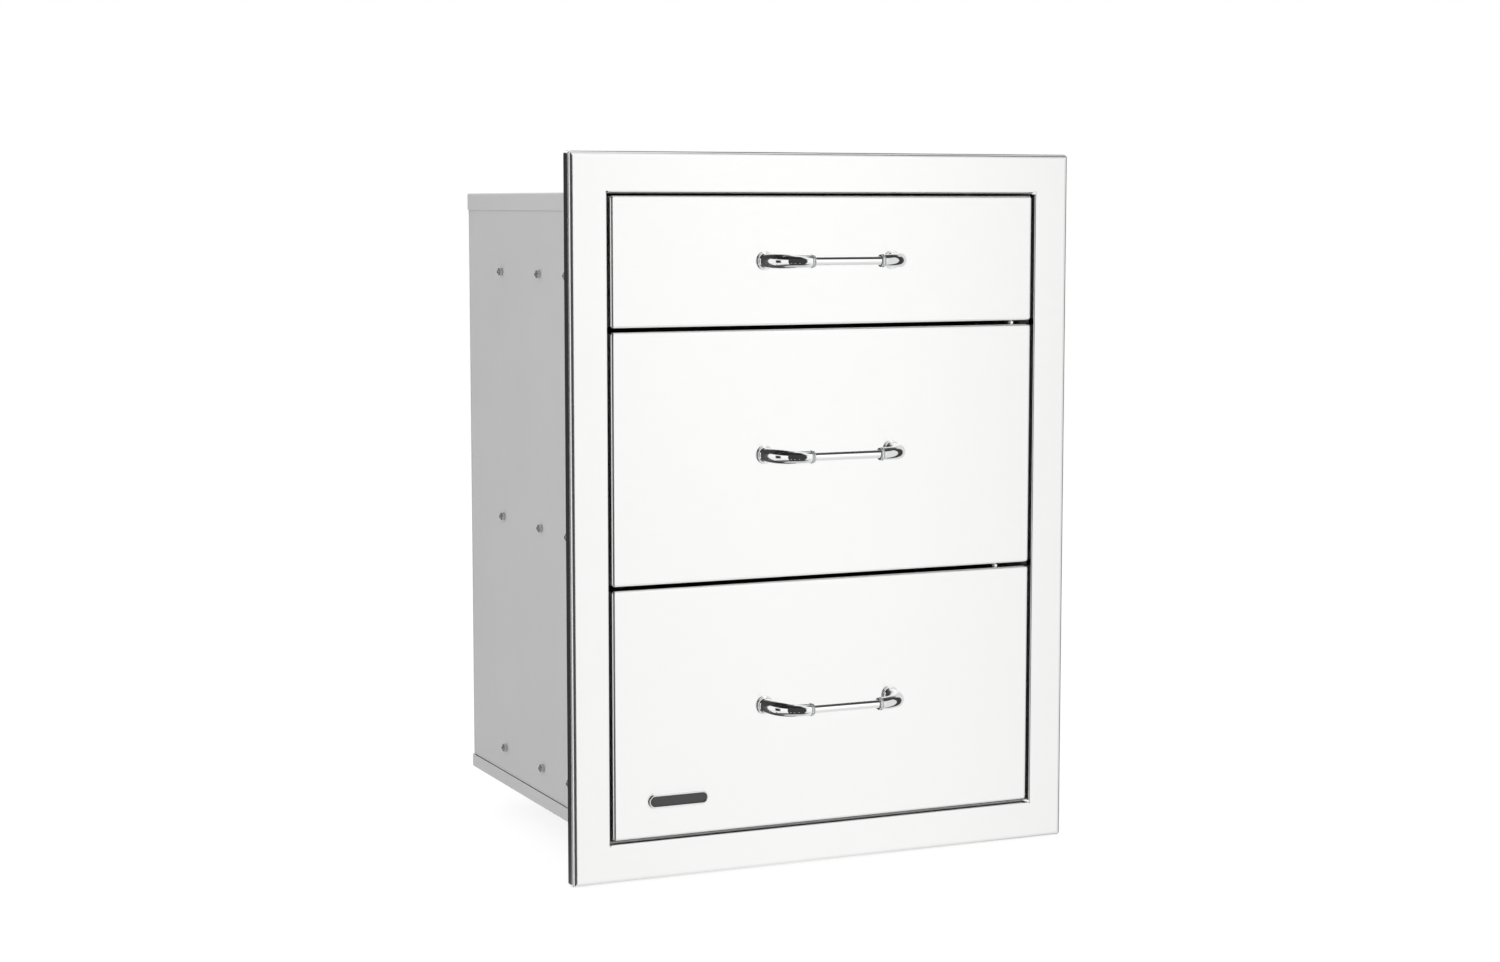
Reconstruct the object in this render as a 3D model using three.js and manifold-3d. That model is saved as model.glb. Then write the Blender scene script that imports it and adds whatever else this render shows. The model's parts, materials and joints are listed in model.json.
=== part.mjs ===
// Built-in three-drawer unit for an outdoor kitchen.
//
// A sheet-steel case is let into a cut-out in the island, a polished front frame covers the edge of
// the cut-out, and three drawers run on full-extension ball-bearing slides. Every sheet piece is a
// folded strip or a folded tray, and every slide is three nested channels with ball cages between.
//
// Millimetres, +Z up, +Y towards the back of the island. The origin is the middle of the sill: on
// the underside of the case, in the plane where the front frame seats on the island.

import * as THREE from 'three';
import { mergeVertices } from 'three/addons/utils/BufferGeometryUtils.js';
import Module from 'manifold-3d';

const wasm = await Module();
wasm.setup();

// Front frame: one sheet with its outer edges folded back to the island and its inner edges folded
// back as a lip round the opening.
const FRAME_WIDTH = 548.7;
const FRAME_HEIGHT = 713.8;
const FRAME_BORDER = 39.4;
const FRAME_SHEET = 1.2;
const FRAME_RETURN = 12.7;
const FRAME_FOLD = 3;
const FRAME_CORNER = 3.5;
const OPENING_LIP = 10;
const OPENING_FOLD = 1.5;
const RELIEF_RADIUS = 1.5;

// Case: two side panels lapped outside the frame's lip, a lid and a bottom pan whose skirts wrap
// the sides and the back, and a back panel. Its depth follows the drawer boxes.
const REAR_ROOM = 34.5;
const CASE_SHEET = 1;
const CASE_FOLD = 1.6;
const LID_SKIRT = 18;
const PAN_SKIRT = 14;
const PAN_GAP = 0.8;
const FRONT_FLANGE = 14;
const REAR_FLANGE = 15;

// Screws that hold the slides on the side panels, each with a nut on the outside. The front and the
// rear one are counted from the slide's ends, and the middle one as a share of the way between them.
const SCREW_FRONT_INSET = 81.5;
const SCREW_REAR_INSET = 69.5;
const MIDDLE_SCREW_SHARE = 0.412;
const SCREW_RADIUS = 2;
const SCREW_HOLE_GAP = 0.35;
const SCREW_TIP = 1.6;
const NUT_RADIUS = 4.4;
const NUT_HEIGHT = 3.4;

// Slides: an outer, a centre and an inner channel, with a ball cage in each of the two spaces.
const SLIDE_LENGTH = 350;
const SLIDE_HEIGHT = 45;
const SLIDE_WIDTH = 12.5;
const SLIDE_SHEET = 1.2;
const SLIDE_CORNER = 1.8;
const SLIDE_CURL = 3;
const SLIDE_SETBACK = 3;
const LIP_DROP = 1;
const CAGE_SHEET = 0.6;
const CAGE_GAP = 0.3;
const CAGE_LENGTH = 150;
const CAGE_BALLS = 3;
const CAGE_BALL_PITCH = 50;
const OUTER_BALL_RADIUS = 2;
const INNER_BALL_RADIUS = 1.8;
const BALL_GAP = 0.2;

// Drawers: a folded front skin closed by a liner, and a folded box with a hemmed rim, which is as
// long as its slides and a little more at both ends.
const FRONT_GAP = 3;
const BETWEEN_GAP = 3.3;
const TOP_FRONT_HEIGHT = 127.5;
const FRONT_DEPTH = 18;
const FRONT_SHEET = 1.2;
const FRONT_FOLD = 3;
const FRONT_CORNER = 3.5;
const LINER_SHEET = 1;
const LINER_RETURN = 8;
const BOX_TAIL = 7;
const BOX_SHEET = 1;
const BOX_FOLD = 2;
const BOX_CORNER = 2.5;
const BOX_RISE = 12;
const BOX_HEADROOM = 35;
const HEM_HEIGHT = 9;
const HEM_THICKNESS = 2.6;
const TOP_SLIDE_RISE = 48;
const LOWER_SLIDE_RISE = 38.25;

// Screws that hold each inner channel on the drawer box, counted from the ends of the slide.
const BOX_SCREW_FRONT_INSET = 45;
const BOX_SCREW_REAR_INSET = 55;
const BOX_SCREW_RADIUS = 2;
const BOX_SCREW_HEAD_RADIUS = 4;
const BOX_SCREW_HEAD_HEIGHT = 1.8;

// Weld studs and cap nuts that hold the box on the liner, counted from the box's sides, floor and rim.
const LINER_STUD_INSET = 60;
const LINER_STUD_MARGIN = 22;
const LINER_STUD_RADIUS = 2.5;
const LINER_NUT_RADIUS = 4.6;
const LINER_NUT_HEIGHT = 4;

// Handles: two cast elbows with a foot, a swollen bend and a collar, and a plain bar between them.
const HANDLE_SPAN = 140;
const HANDLE_STANDOFF = 42;
const BAR_LENGTH = 71;
const BAR_RADIUS = 4.1;
const BAR_SOCKET = 5;
const POST_RADIUS = 7.3;
const HANDLE_SCREW_RADIUS = 2.5;
const HANDLE_SCREW_LENGTH = 10;
const HANDLE_SCREW_HEAD_RADIUS = 4.6;
const HANDLE_SCREW_HEAD_HEIGHT = 3;

// The elbow's path leaves the front square to it and arrives at the bar in line with the bar.
const POST_LEAVE_SHARE = 0.62;
const POST_ARRIVE_SHARE = 0.74;

// The elbow's outline: how far along the path, and the radius there as a share of POST_RADIUS.
const POST_OUTLINE_SHARES = [
  [0, 1.2],
  [0.04, 1.2],
  [0.055, 1.1],
  [0.095, 0.95],
  [0.2, 0.98],
  [0.33, 1.01],
  [0.46, 1],
  [0.6, 0.96],
  [0.74, 0.9],
  [0.86, 0.83],
  [0.935, 0.8],
  [0.94, 0.9],
  [0.97, 0.92],
  [1, 0.8],
];

// Shared clearances and drawing steps.
const SEAT_GAP = 0.2;
const SHARP_CORNER = 0.4;
const CUT_OVERRUN = 2;
const MERGE_DISTANCE = 0.001;
const FOLD_STEPS = 2;
const CORNER_STEPS = 2;
const HOLE_SIDES = 8;
const ROUND_SIDES = 12;
const HEX_SIDES = 6;

// Places worked out from the sizes above.
const OPENING_WIDTH = FRAME_WIDTH - 2 * FRAME_BORDER;
const OPENING_HEIGHT = FRAME_HEIGHT - 2 * FRAME_BORDER;
const FACE_Y = -FRAME_RETURN;
const CASE_FRONT_Y = FACE_Y + OPENING_LIP + SEAT_GAP;
const PANEL_FRONT_Y = FACE_Y + FRAME_SHEET + SEAT_GAP;
const BOX_FRONT_Y = FACE_Y + FRONT_DEPTH + SEAT_GAP;
const BOX_DEPTH = SLIDE_SETBACK + SLIDE_LENGTH + BOX_TAIL;
const CASE_DEPTH = BOX_FRONT_Y + BOX_DEPTH + REAR_ROOM;
const BACK_OUTER_Y = CASE_DEPTH - CASE_SHEET - SEAT_GAP;
const BACK_INNER_Y = BACK_OUTER_Y - CASE_SHEET;
const PANEL_REAR_Y = BACK_INNER_Y - SEAT_GAP;
const PANEL_INNER_X = OPENING_WIDTH / 2 + FRAME_SHEET + SEAT_GAP;
const PANEL_OUTER_X = PANEL_INNER_X + CASE_SHEET;
const PANEL_BOTTOM_Z = CASE_SHEET + SEAT_GAP;
const PANEL_TOP_Z = OPENING_HEIGHT - CASE_SHEET - SEAT_GAP;
const SLIDE_FACE_X = PANEL_INNER_X - SEAT_GAP;
const BOX_WIDTH = 2 * (SLIDE_FACE_X - SLIDE_WIDTH - SEAT_GAP);
const SLIDE_FRONT_Y = BOX_FRONT_Y + SLIDE_SETBACK;
const SCREW_SPAN = SLIDE_LENGTH - SCREW_FRONT_INSET - SCREW_REAR_INSET;
const SCREW_PLACES = [0, MIDDLE_SCREW_SHARE, 1].map((share) => SCREW_FRONT_INSET + share * SCREW_SPAN);
const BOX_SCREW_PLACES = [BOX_SCREW_FRONT_INSET, SLIDE_LENGTH - BOX_SCREW_REAR_INSET];

// Slide section: each channel and ball row is set out inwards from the channel outside it. Places
// across a slide run from its mounting face towards the drawer.
const OUTER_HALF = SLIDE_HEIGHT / 2;
const OUTER_DEPTH = SLIDE_WIDTH - SLIDE_SHEET - CAGE_GAP;
const OUTER_BALL_ACROSS = OUTER_DEPTH - SLIDE_SHEET - BALL_GAP - OUTER_BALL_RADIUS;
const OUTER_BALL_UP = OUTER_HALF - SLIDE_SHEET - BALL_GAP - OUTER_BALL_RADIUS;
const OUTER_CAGE_START = SLIDE_SHEET + CAGE_GAP;
const CENTRE_START = OUTER_CAGE_START + CAGE_SHEET + CAGE_GAP;
const CENTRE_HALF = OUTER_BALL_UP - OUTER_BALL_RADIUS - BALL_GAP;
const CENTRE_END = OUTER_DEPTH - SLIDE_SHEET - BALL_GAP;
const INNER_BALL_ACROSS = CENTRE_END - SLIDE_SHEET - BALL_GAP - INNER_BALL_RADIUS;
const INNER_BALL_UP = CENTRE_HALF - SLIDE_SHEET - BALL_GAP - INNER_BALL_RADIUS;
const INNER_CAGE_START = CENTRE_START + SLIDE_SHEET + CAGE_GAP;
const INNER_START = INNER_CAGE_START + CAGE_SHEET + CAGE_GAP;
const INNER_HALF = INNER_BALL_UP - INNER_BALL_RADIUS - BALL_GAP;

// The top front's height is set, and the two lower fronts halve what is left of the opening.
const LOWER_FRONTS_SPACE = OPENING_HEIGHT - TOP_FRONT_HEIGHT - 2 * (FRONT_GAP + BETWEEN_GAP);
const LOWER_FRONT_HEIGHT = LOWER_FRONTS_SPACE / 2;
const MIDDLE_Z = FRONT_GAP + LOWER_FRONT_HEIGHT + BETWEEN_GAP;
const TOP_Z = MIDDLE_Z + LOWER_FRONT_HEIGHT + BETWEEN_GAP;
const DRAWERS = [
  { name: 'top', z: TOP_Z, height: TOP_FRONT_HEIGHT, slideRise: TOP_SLIDE_RISE },
  { name: 'middle', z: MIDDLE_Z, height: LOWER_FRONT_HEIGHT, slideRise: LOWER_SLIDE_RISE },
  { name: 'bottom', z: FRONT_GAP, height: LOWER_FRONT_HEIGHT, slideRise: LOWER_SLIDE_RISE },
];
const SIDES = { left: -1, right: 1 };

// Materials.
const polishedSteel = new THREE.MeshStandardMaterial({ color: 0xe6e6e4, roughness: 0.22, metalness: 1 });
const caseSteel = new THREE.MeshStandardMaterial({ color: 0xb6b6b6, roughness: 0.5, metalness: 0.9 });
const drawerSteel = new THREE.MeshStandardMaterial({ color: 0xc6c7c8, roughness: 0.38, metalness: 1 });
const zincSteel = new THREE.MeshStandardMaterial({ color: 0xaeb4ba, roughness: 0.35, metalness: 1 });
const cageSteel = new THREE.MeshStandardMaterial({ color: 0x8d9094, roughness: 0.3, metalness: 1 });
const chrome = new THREE.MeshStandardMaterial({ color: 0xdfe3e6, roughness: 0.05, metalness: 1 });

// Solids: geometry to solid, and a named mesh of a solid.
function solidFrom(geometry) {
  const bare = geometry.clone();
  bare.deleteAttribute('normal');
  bare.deleteAttribute('uv');
  const merged = mergeVertices(bare, MERGE_DISTANCE);
  const skin = new wasm.Mesh({
    numProp: 3,
    vertProperties: new Float32Array(merged.attributes.position.array),
    triVerts: new Uint32Array(merged.index.array),
  });
  return new wasm.Manifold(skin);
}

function meshOf(name, material, solid) {
  const skin = solid.getMesh();
  const geometry = new THREE.BufferGeometry();
  geometry.setAttribute('position', new THREE.BufferAttribute(skin.vertProperties, 3));
  geometry.setIndex(new THREE.BufferAttribute(skin.triVerts, 1));
  const faceted = geometry.toNonIndexed();
  faceted.computeVertexNormals();
  const mesh = new THREE.Mesh(faceted, material);
  mesh.name = name;
  return mesh;
}

// Skins a stack of rings. An open stack is capped at both ends, and a looped one joins its ends.
function loft(rings, looped = false) {
  const count = rings[0].length;
  const index = [];
  const spans = looped ? rings.length : rings.length - 1;
  for (let span = 0; span < spans; span += 1) {
    const here = span * count;
    const next = ((span + 1) % rings.length) * count;
    for (let side = 0; side < count; side += 1) {
      const beside = (side + 1) % count;
      index.push(here + side, here + beside, next + beside);
      index.push(here + side, next + beside, next + side);
    }
  }
  const last = (rings.length - 1) * count;
  for (let side = 1; side < count - 1 && !looped; side += 1) {
    index.push(0, side + 1, side);
    index.push(last, last + side, last + side + 1);
  }
  const geometry = new THREE.BufferGeometry();
  const places = rings.flat().flatMap((point) => point.toArray());
  geometry.setAttribute('position', new THREE.Float32BufferAttribute(places, 3));
  geometry.setIndex(index);
  return geometry;
}

// A rectangle with rounded corners, anticlockwise, as a ring at one level.
function rectangleRing(width, depth, corner, level) {
  const radius = Math.max(corner, SHARP_CORNER);
  const ring = [];
  for (let quarter = 0; quarter < 4; quarter += 1) {
    const signX = quarter === 0 || quarter === 3 ? 1 : -1;
    const signY = quarter < 2 ? 1 : -1;
    for (let step = 0; step <= CORNER_STEPS; step += 1) {
      const angle = ((quarter + step / CORNER_STEPS) * Math.PI) / 2;
      const x = signX * (width / 2 - radius) + radius * Math.cos(angle);
      const y = signY * (depth / 2 - radius) + radius * Math.sin(angle);
      ring.push(new THREE.Vector3(x, y, level));
    }
  }
  return ring;
}

// A quarter fold's steps: how far in from the outer face, and how far past the flat face.
function foldSteps(radius) {
  const steps = [];
  for (let step = 0; step <= FOLD_STEPS; step += 1) {
    const angle = ((step / FOLD_STEPS) * Math.PI) / 2;
    steps.push([radius * (1 - Math.sin(angle)), radius * (1 - Math.cos(angle))]);
  }
  return steps;
}

// A tray folded from one sheet: a floor with its outer face at level zero and four walls, with a
// hem turned in round the rim where one is asked for.
function tray({ width, depth, height, sheet, fold, corner, hem = null }) {
  const ring = (inset, level) =>
    rectangleRing(width - 2 * inset, depth - 2 * inset, corner - inset, level);
  const rings = foldSteps(fold).map(([inset, level]) => ring(inset, level));
  rings.push(ring(0, height));
  if (hem) {
    rings.push(ring(hem.thickness, height));
    rings.push(ring(hem.thickness, height - hem.height));
    rings.push(ring(sheet, height - hem.height));
  } else {
    rings.push(ring(sheet, height));
  }
  rings.push(ring(sheet, sheet));
  return loft(rings);
}

// The line of one face of a folded strip. Corners are [x, y, radius], and the ends have no radius.
function foldLine(corners) {
  const line = [];
  corners.forEach(([x, y, radius], place) => {
    const here = new THREE.Vector2(x, y);
    if (!radius) {
      line.push(here);
      return;
    }
    const [beforeX, beforeY] = corners[place - 1];
    const [afterX, afterY] = corners[place + 1];
    const before = new THREE.Vector2(beforeX, beforeY).sub(here).normalize();
    const after = new THREE.Vector2(afterX, afterY).sub(here).normalize();
    const half = Math.acos(before.dot(after)) / 2;
    const towards = before.clone().add(after).normalize();
    const centre = here.clone().addScaledVector(towards, radius / Math.sin(half));
    const start = here.clone().addScaledVector(before, radius / Math.tan(half)).sub(centre);
    const turn = Math.sign(before.cross(after)) * (2 * half - Math.PI);
    for (let step = 0; step <= FOLD_STEPS; step += 1) {
      const spoke = start.clone().rotateAround(new THREE.Vector2(), (turn * step) / FOLD_STEPS);
      line.push(spoke.add(centre));
    }
  });
  return line;
}

// The same line moved sideways, to its left for a distance above zero.
function besideLine(line, distance) {
  return line.map((point, place) => {
    const into = place > 0 ? point.clone().sub(line[place - 1]).normalize() : null;
    const out = place < line.length - 1 ? line[place + 1].clone().sub(point).normalize() : null;
    const first = into ?? out;
    const along = first.clone().add(out ?? into).normalize();
    const across = new THREE.Vector2(-along.y, along.x);
    const square = new THREE.Vector2(-first.y, first.x);
    return across.multiplyScalar(distance / across.dot(square)).add(point);
  });
}

// The section of a strip of sheet folded along the corners given for one of its faces.
function stripSection(corners, sheet) {
  const face = foldLine(corners);
  return new THREE.Shape([...face, ...besideLine(face, sheet).reverse()]);
}

// A section drawn in plan and raised from one height to another.
function raised(section, fromZ, toZ) {
  const geometry = new THREE.ExtrudeGeometry(section, { depth: toZ - fromZ, bevelEnabled: false });
  return geometry.translate(0, 0, fromZ);
}

// A section drawn as seen from the front and run back from the group's own origin.
function runBack(section, length) {
  const geometry = new THREE.ExtrudeGeometry(section, { depth: length, bevelEnabled: false });
  return geometry.rotateX(Math.PI / 2).translate(0, length, 0);
}

// Round and hexagonal bars along each axis, from one place to another.
function barAlongX(radius, fromX, toX, sides) {
  const geometry = new THREE.CylinderGeometry(radius, radius, Math.abs(toX - fromX), sides);
  return geometry.rotateZ(Math.PI / 2).translate((fromX + toX) / 2, 0, 0);
}

function barAlongY(radius, fromY, toY, sides) {
  const geometry = new THREE.CylinderGeometry(radius, radius, Math.abs(toY - fromY), sides);
  return geometry.translate(0, (fromY + toY) / 2, 0);
}

// Front frame. Its section is a loop of rings: up the outer return, across the face, down the lip
// and back along the inside. Small round reliefs free the folds at the four opening corners.
function frontFrame() {
  const ring = (inset, level) => rectangleRing(
    FRAME_WIDTH - 2 * inset,
    FRAME_HEIGHT - 2 * inset,
    FRAME_CORNER - inset,
    level,
  );
  const outerFold = foldSteps(FRAME_FOLD).reverse();
  const innerFold = foldSteps(OPENING_FOLD);
  const inside = FRAME_RETURN - FRAME_SHEET;
  const rings = [
    ring(0, 0),
    ...outerFold.map(([inset, drop]) => ring(inset, FRAME_RETURN - drop)),
    ...innerFold.map(([inset, drop]) => ring(FRAME_BORDER - inset, FRAME_RETURN - drop)),
    ring(FRAME_BORDER, FRAME_RETURN - OPENING_LIP),
    ring(FRAME_BORDER - FRAME_SHEET, FRAME_RETURN - OPENING_LIP),
    ring(FRAME_BORDER - FRAME_SHEET, inside),
    ring(FRAME_SHEET, inside),
    ring(FRAME_SHEET, 0),
  ];
  const skin = loft(rings, true).rotateX(Math.PI / 2).translate(0, 0, OPENING_HEIGHT / 2);
  let frame = solidFrom(skin);
  for (const sign of Object.values(SIDES)) {
    for (const level of [0, OPENING_HEIGHT]) {
      const drill = barAlongY(RELIEF_RADIUS, FACE_Y - CUT_OVERRUN, CUT_OVERRUN, HOLE_SIDES);
      drill.translate((sign * OPENING_WIDTH) / 2, 0, level);
      frame = frame.subtract(solidFrom(drill));
    }
  }
  return meshOf('front_frame', polishedSteel, frame);
}

// Side panel: a flange turned out behind the frame's face, the panel, and a flange turned in for
// the back panel, with a hole for every slide screw.
function sidePanel(side) {
  const sign = SIDES[side];
  const section = stripSection([
    [sign * (PANEL_OUTER_X + FRONT_FLANGE), PANEL_FRONT_Y],
    [sign * PANEL_INNER_X, PANEL_FRONT_Y, CASE_FOLD],
    [sign * PANEL_INNER_X, PANEL_REAR_Y - CASE_SHEET, CASE_FOLD],
    [sign * (PANEL_INNER_X - REAR_FLANGE), PANEL_REAR_Y - CASE_SHEET],
  ], -sign * CASE_SHEET);
  let panel = solidFrom(raised(section, PANEL_BOTTOM_Z, PANEL_TOP_Z));
  const holeRadius = SCREW_RADIUS + SCREW_HOLE_GAP;
  for (const drawer of DRAWERS) {
    for (const place of SCREW_PLACES) {
      const drill = barAlongX(
        holeRadius,
        sign * (PANEL_INNER_X - CUT_OVERRUN),
        sign * (PANEL_OUTER_X + CUT_OVERRUN),
        HOLE_SIDES,
      );
      drill.translate(0, SLIDE_FRONT_Y + place, drawer.z + drawer.slideRise);
      panel = panel.subtract(solidFrom(drill));
    }
  }
  return meshOf(`side_panel_${side}`, caseSteel, panel);
}

// Lid and bottom pan: trays without a front wall, whose skirts wrap the sides and the back. Each is
// drawn floor down, and the lid is then turned over.
function caseTray(name, skirt, gap) {
  const width = 2 * (PANEL_OUTER_X + gap + CASE_SHEET);
  const depth = CASE_DEPTH - CASE_FRONT_Y + CUT_OVERRUN + CASE_FOLD;
  const whole = tray({
    width,
    depth,
    height: skirt,
    sheet: CASE_SHEET,
    fold: CASE_FOLD,
    corner: CASE_FOLD,
  });
  whole.translate(0, CASE_DEPTH - depth / 2, 0);
  const cut = new THREE.BoxGeometry(width + CUT_OVERRUN, depth, 2 * (skirt + CUT_OVERRUN));
  cut.translate(0, CASE_FRONT_Y - depth / 2, 0);
  return meshOf(name, caseSteel, solidFrom(whole).subtract(solidFrom(cut)));
}

function lid() {
  const mesh = caseTray('top_panel', LID_SKIRT, SEAT_GAP);
  mesh.rotation.y = Math.PI;
  mesh.position.z = OPENING_HEIGHT;
  return mesh;
}

function backPanel() {
  const height = PANEL_TOP_Z - PANEL_BOTTOM_Z;
  const sheet = new THREE.BoxGeometry(2 * PANEL_OUTER_X, CASE_SHEET, height);
  sheet.translate(0, (BACK_INNER_Y + BACK_OUTER_Y) / 2, (PANEL_TOP_Z + PANEL_BOTTOM_Z) / 2);
  return meshOf('back_panel', caseSteel, solidFrom(sheet));
}

// The section of a slide channel: a web and two flanges that curl in at their edges. The web's
// outer face is at `start` and the curls' outer faces are at `end`, across the slide.
function channelSection(sign, start, end, half, curl, lipUp) {
  return stripSection([
    [-sign * end, lipUp],
    [-sign * end, half, curl],
    [-sign * start, half, SLIDE_CORNER],
    [-sign * start, -half, SLIDE_CORNER],
    [-sign * end, -half, curl],
    [-sign * end, -lipUp],
  ], sign * Math.sign(end - start) * -SLIDE_SHEET);
}

// The outer channel, with the flush screws that run out through the side panel from its web and
// the nut of each on the outside.
function outerChannel(sign, name) {
  const lipUp = OUTER_BALL_UP - LIP_DROP;
  const section = channelSection(sign, 0, OUTER_DEPTH, OUTER_HALF, SLIDE_CURL, lipUp);
  const nutX = PANEL_OUTER_X + SEAT_GAP - SLIDE_FACE_X;
  const tipX = nutX + NUT_HEIGHT + SCREW_TIP;
  const parts = [
    barAlongX(SCREW_RADIUS, (-sign * SLIDE_SHEET) / 2, sign * tipX, HOLE_SIDES),
    barAlongX(NUT_RADIUS, sign * nutX, sign * (nutX + NUT_HEIGHT), HEX_SIDES),
  ];
  let channel = solidFrom(runBack(section, SLIDE_LENGTH));
  for (const place of SCREW_PLACES) {
    for (const part of parts) {
      channel = channel.add(solidFrom(part.clone().translate(0, place, 0)));
    }
  }
  return meshOf(`slide_outer_${name}`, zincSteel, channel);
}

function centreChannel(sign, name) {
  const lipUp = INNER_BALL_UP - LIP_DROP;
  const section = channelSection(sign, CENTRE_START, CENTRE_END, CENTRE_HALF, SLIDE_CURL, lipUp);
  return meshOf(`slide_centre_${name}`, zincSteel, solidFrom(runBack(section, SLIDE_LENGTH)));
}

// The inner channel faces the other way, with its web on the drawer's side wall and the screws that
// run in through that wall to a head inside the drawer.
function innerChannel(sign, name) {
  const lipUp = INNER_HALF - SLIDE_CORNER - SEAT_GAP;
  const section = channelSection(sign, SLIDE_WIDTH, INNER_START, INNER_HALF, SLIDE_CORNER, lipUp);
  const rootX = SLIDE_WIDTH - SLIDE_SHEET / 2;
  const headX = SLIDE_WIDTH + SEAT_GAP + BOX_SHEET + SEAT_GAP;
  const endX = headX + BOX_SCREW_HEAD_HEIGHT;
  const parts = [
    barAlongX(BOX_SCREW_RADIUS, -sign * rootX, -sign * headX, HOLE_SIDES),
    barAlongX(BOX_SCREW_HEAD_RADIUS, -sign * headX, -sign * endX, HOLE_SIDES),
  ];
  let channel = solidFrom(runBack(section, SLIDE_LENGTH));
  for (const place of BOX_SCREW_PLACES) {
    for (const part of parts) {
      channel = channel.add(solidFrom(part.clone().translate(0, place, 0)));
    }
  }
  return meshOf(`slide_inner_${name}`, zincSteel, channel);
}

// A ball cage: a thin channel whose legs run through the middle of the two rows of balls.
function ballCage(name, sign, start, ballAcross, ballUp, ballRadius) {
  const legEnd = ballAcross + ballRadius / 2;
  const legUp = ballUp + CAGE_SHEET / 2;
  const fold = CAGE_SHEET + CAGE_GAP;
  const section = stripSection([
    [-sign * legEnd, legUp],
    [-sign * start, legUp, fold],
    [-sign * start, -legUp, fold],
    [-sign * legEnd, -legUp],
  ], -sign * CAGE_SHEET);
  let cage = solidFrom(runBack(section, CAGE_LENGTH));
  for (let ball = 0; ball < CAGE_BALLS; ball += 1) {
    const ballY = CAGE_LENGTH / 2 + (ball - (CAGE_BALLS - 1) / 2) * CAGE_BALL_PITCH;
    for (const row of [-1, 1]) {
      const sphere = new THREE.OctahedronGeometry(ballRadius);
      sphere.translate(-sign * ballAcross, ballY, row * ballUp);
      cage = cage.add(solidFrom(sphere));
    }
  }
  const mesh = meshOf(name, cageSteel, cage);
  mesh.position.y = (SLIDE_LENGTH - CAGE_LENGTH) / 2;
  return mesh;
}

// One telescopic slide, placed with its mounting face on the side panel.
function slide(drawer, side) {
  const sign = SIDES[side];
  const name = `${drawer.name}_${side}`;
  const group = new THREE.Group();
  group.position.set(sign * SLIDE_FACE_X, SLIDE_FRONT_Y, drawer.z + drawer.slideRise);
  group.add(
    outerChannel(sign, name),
    ballCage(
      `ball_cage_outer_${name}`,
      sign,
      OUTER_CAGE_START,
      OUTER_BALL_ACROSS,
      OUTER_BALL_UP,
      OUTER_BALL_RADIUS,
    ),
    centreChannel(sign, name),
    ballCage(
      `ball_cage_inner_${name}`,
      sign,
      INNER_CAGE_START,
      INNER_BALL_ACROSS,
      INNER_BALL_UP,
      INNER_BALL_RADIUS,
    ),
    innerChannel(sign, name),
  );
  return group;
}

// Drawer front: a skin folded back on four sides and drilled for the handle's screws. Places on a
// front are counted from the middle of its face.
function frontSkin(drawer) {
  const skin = tray({
    width: OPENING_WIDTH - 2 * FRONT_GAP,
    depth: drawer.height,
    height: FRONT_DEPTH,
    sheet: FRONT_SHEET,
    fold: FRONT_FOLD,
    corner: FRONT_CORNER,
  });
  let front = solidFrom(skin.rotateX(-Math.PI / 2));
  const holeRadius = HANDLE_SCREW_RADIUS + SCREW_HOLE_GAP;
  for (const sign of Object.values(SIDES)) {
    const drill = barAlongY(holeRadius, -CUT_OVERRUN, FRONT_SHEET + CUT_OVERRUN, HOLE_SIDES);
    drill.translate((sign * HANDLE_SPAN) / 2, 0, 0);
    front = front.subtract(solidFrom(drill));
  }
  return meshOf(`front_skin_${drawer.name}`, polishedSteel, front);
}

// The places of the liner's weld studs, counted from the middle of the front's face.
function linerStudPlaces(drawer) {
  const x = BOX_WIDTH / 2 - LINER_STUD_INSET;
  const low = BOX_RISE + LINER_STUD_MARGIN - drawer.height / 2;
  const high = drawer.height / 2 - BOX_HEADROOM - LINER_STUD_MARGIN;
  return [[-x, low], [x, low], [-x, high], [x, high]];
}

// Liner: a shallow tray turned forward inside the skin, whose weld studs run back through the front
// wall of the drawer box to a cap nut inside it.
function frontLiner(drawer) {
  const inset = 2 * (FRONT_SHEET + SEAT_GAP);
  const panel = tray({
    width: OPENING_WIDTH - 2 * FRONT_GAP - inset,
    depth: drawer.height - inset,
    height: LINER_RETURN,
    sheet: LINER_SHEET,
    fold: BOX_FOLD,
    corner: BOX_CORNER,
  });
  const nutY = SEAT_GAP + BOX_SHEET + SEAT_GAP;
  const parts = [
    barAlongY(LINER_STUD_RADIUS, -LINER_SHEET / 2, nutY + LINER_NUT_HEIGHT / 2, HOLE_SIDES),
    barAlongY(LINER_NUT_RADIUS, nutY, nutY + LINER_NUT_HEIGHT, HEX_SIDES),
  ];
  let liner = solidFrom(panel.rotateX(Math.PI / 2));
  for (const [x, z] of linerStudPlaces(drawer)) {
    for (const part of parts) {
      liner = liner.add(solidFrom(part.clone().translate(x, 0, z)));
    }
  }
  const mesh = meshOf(`front_liner_${drawer.name}`, drawerSteel, liner);
  mesh.position.y = FRONT_DEPTH;
  return mesh;
}

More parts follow.
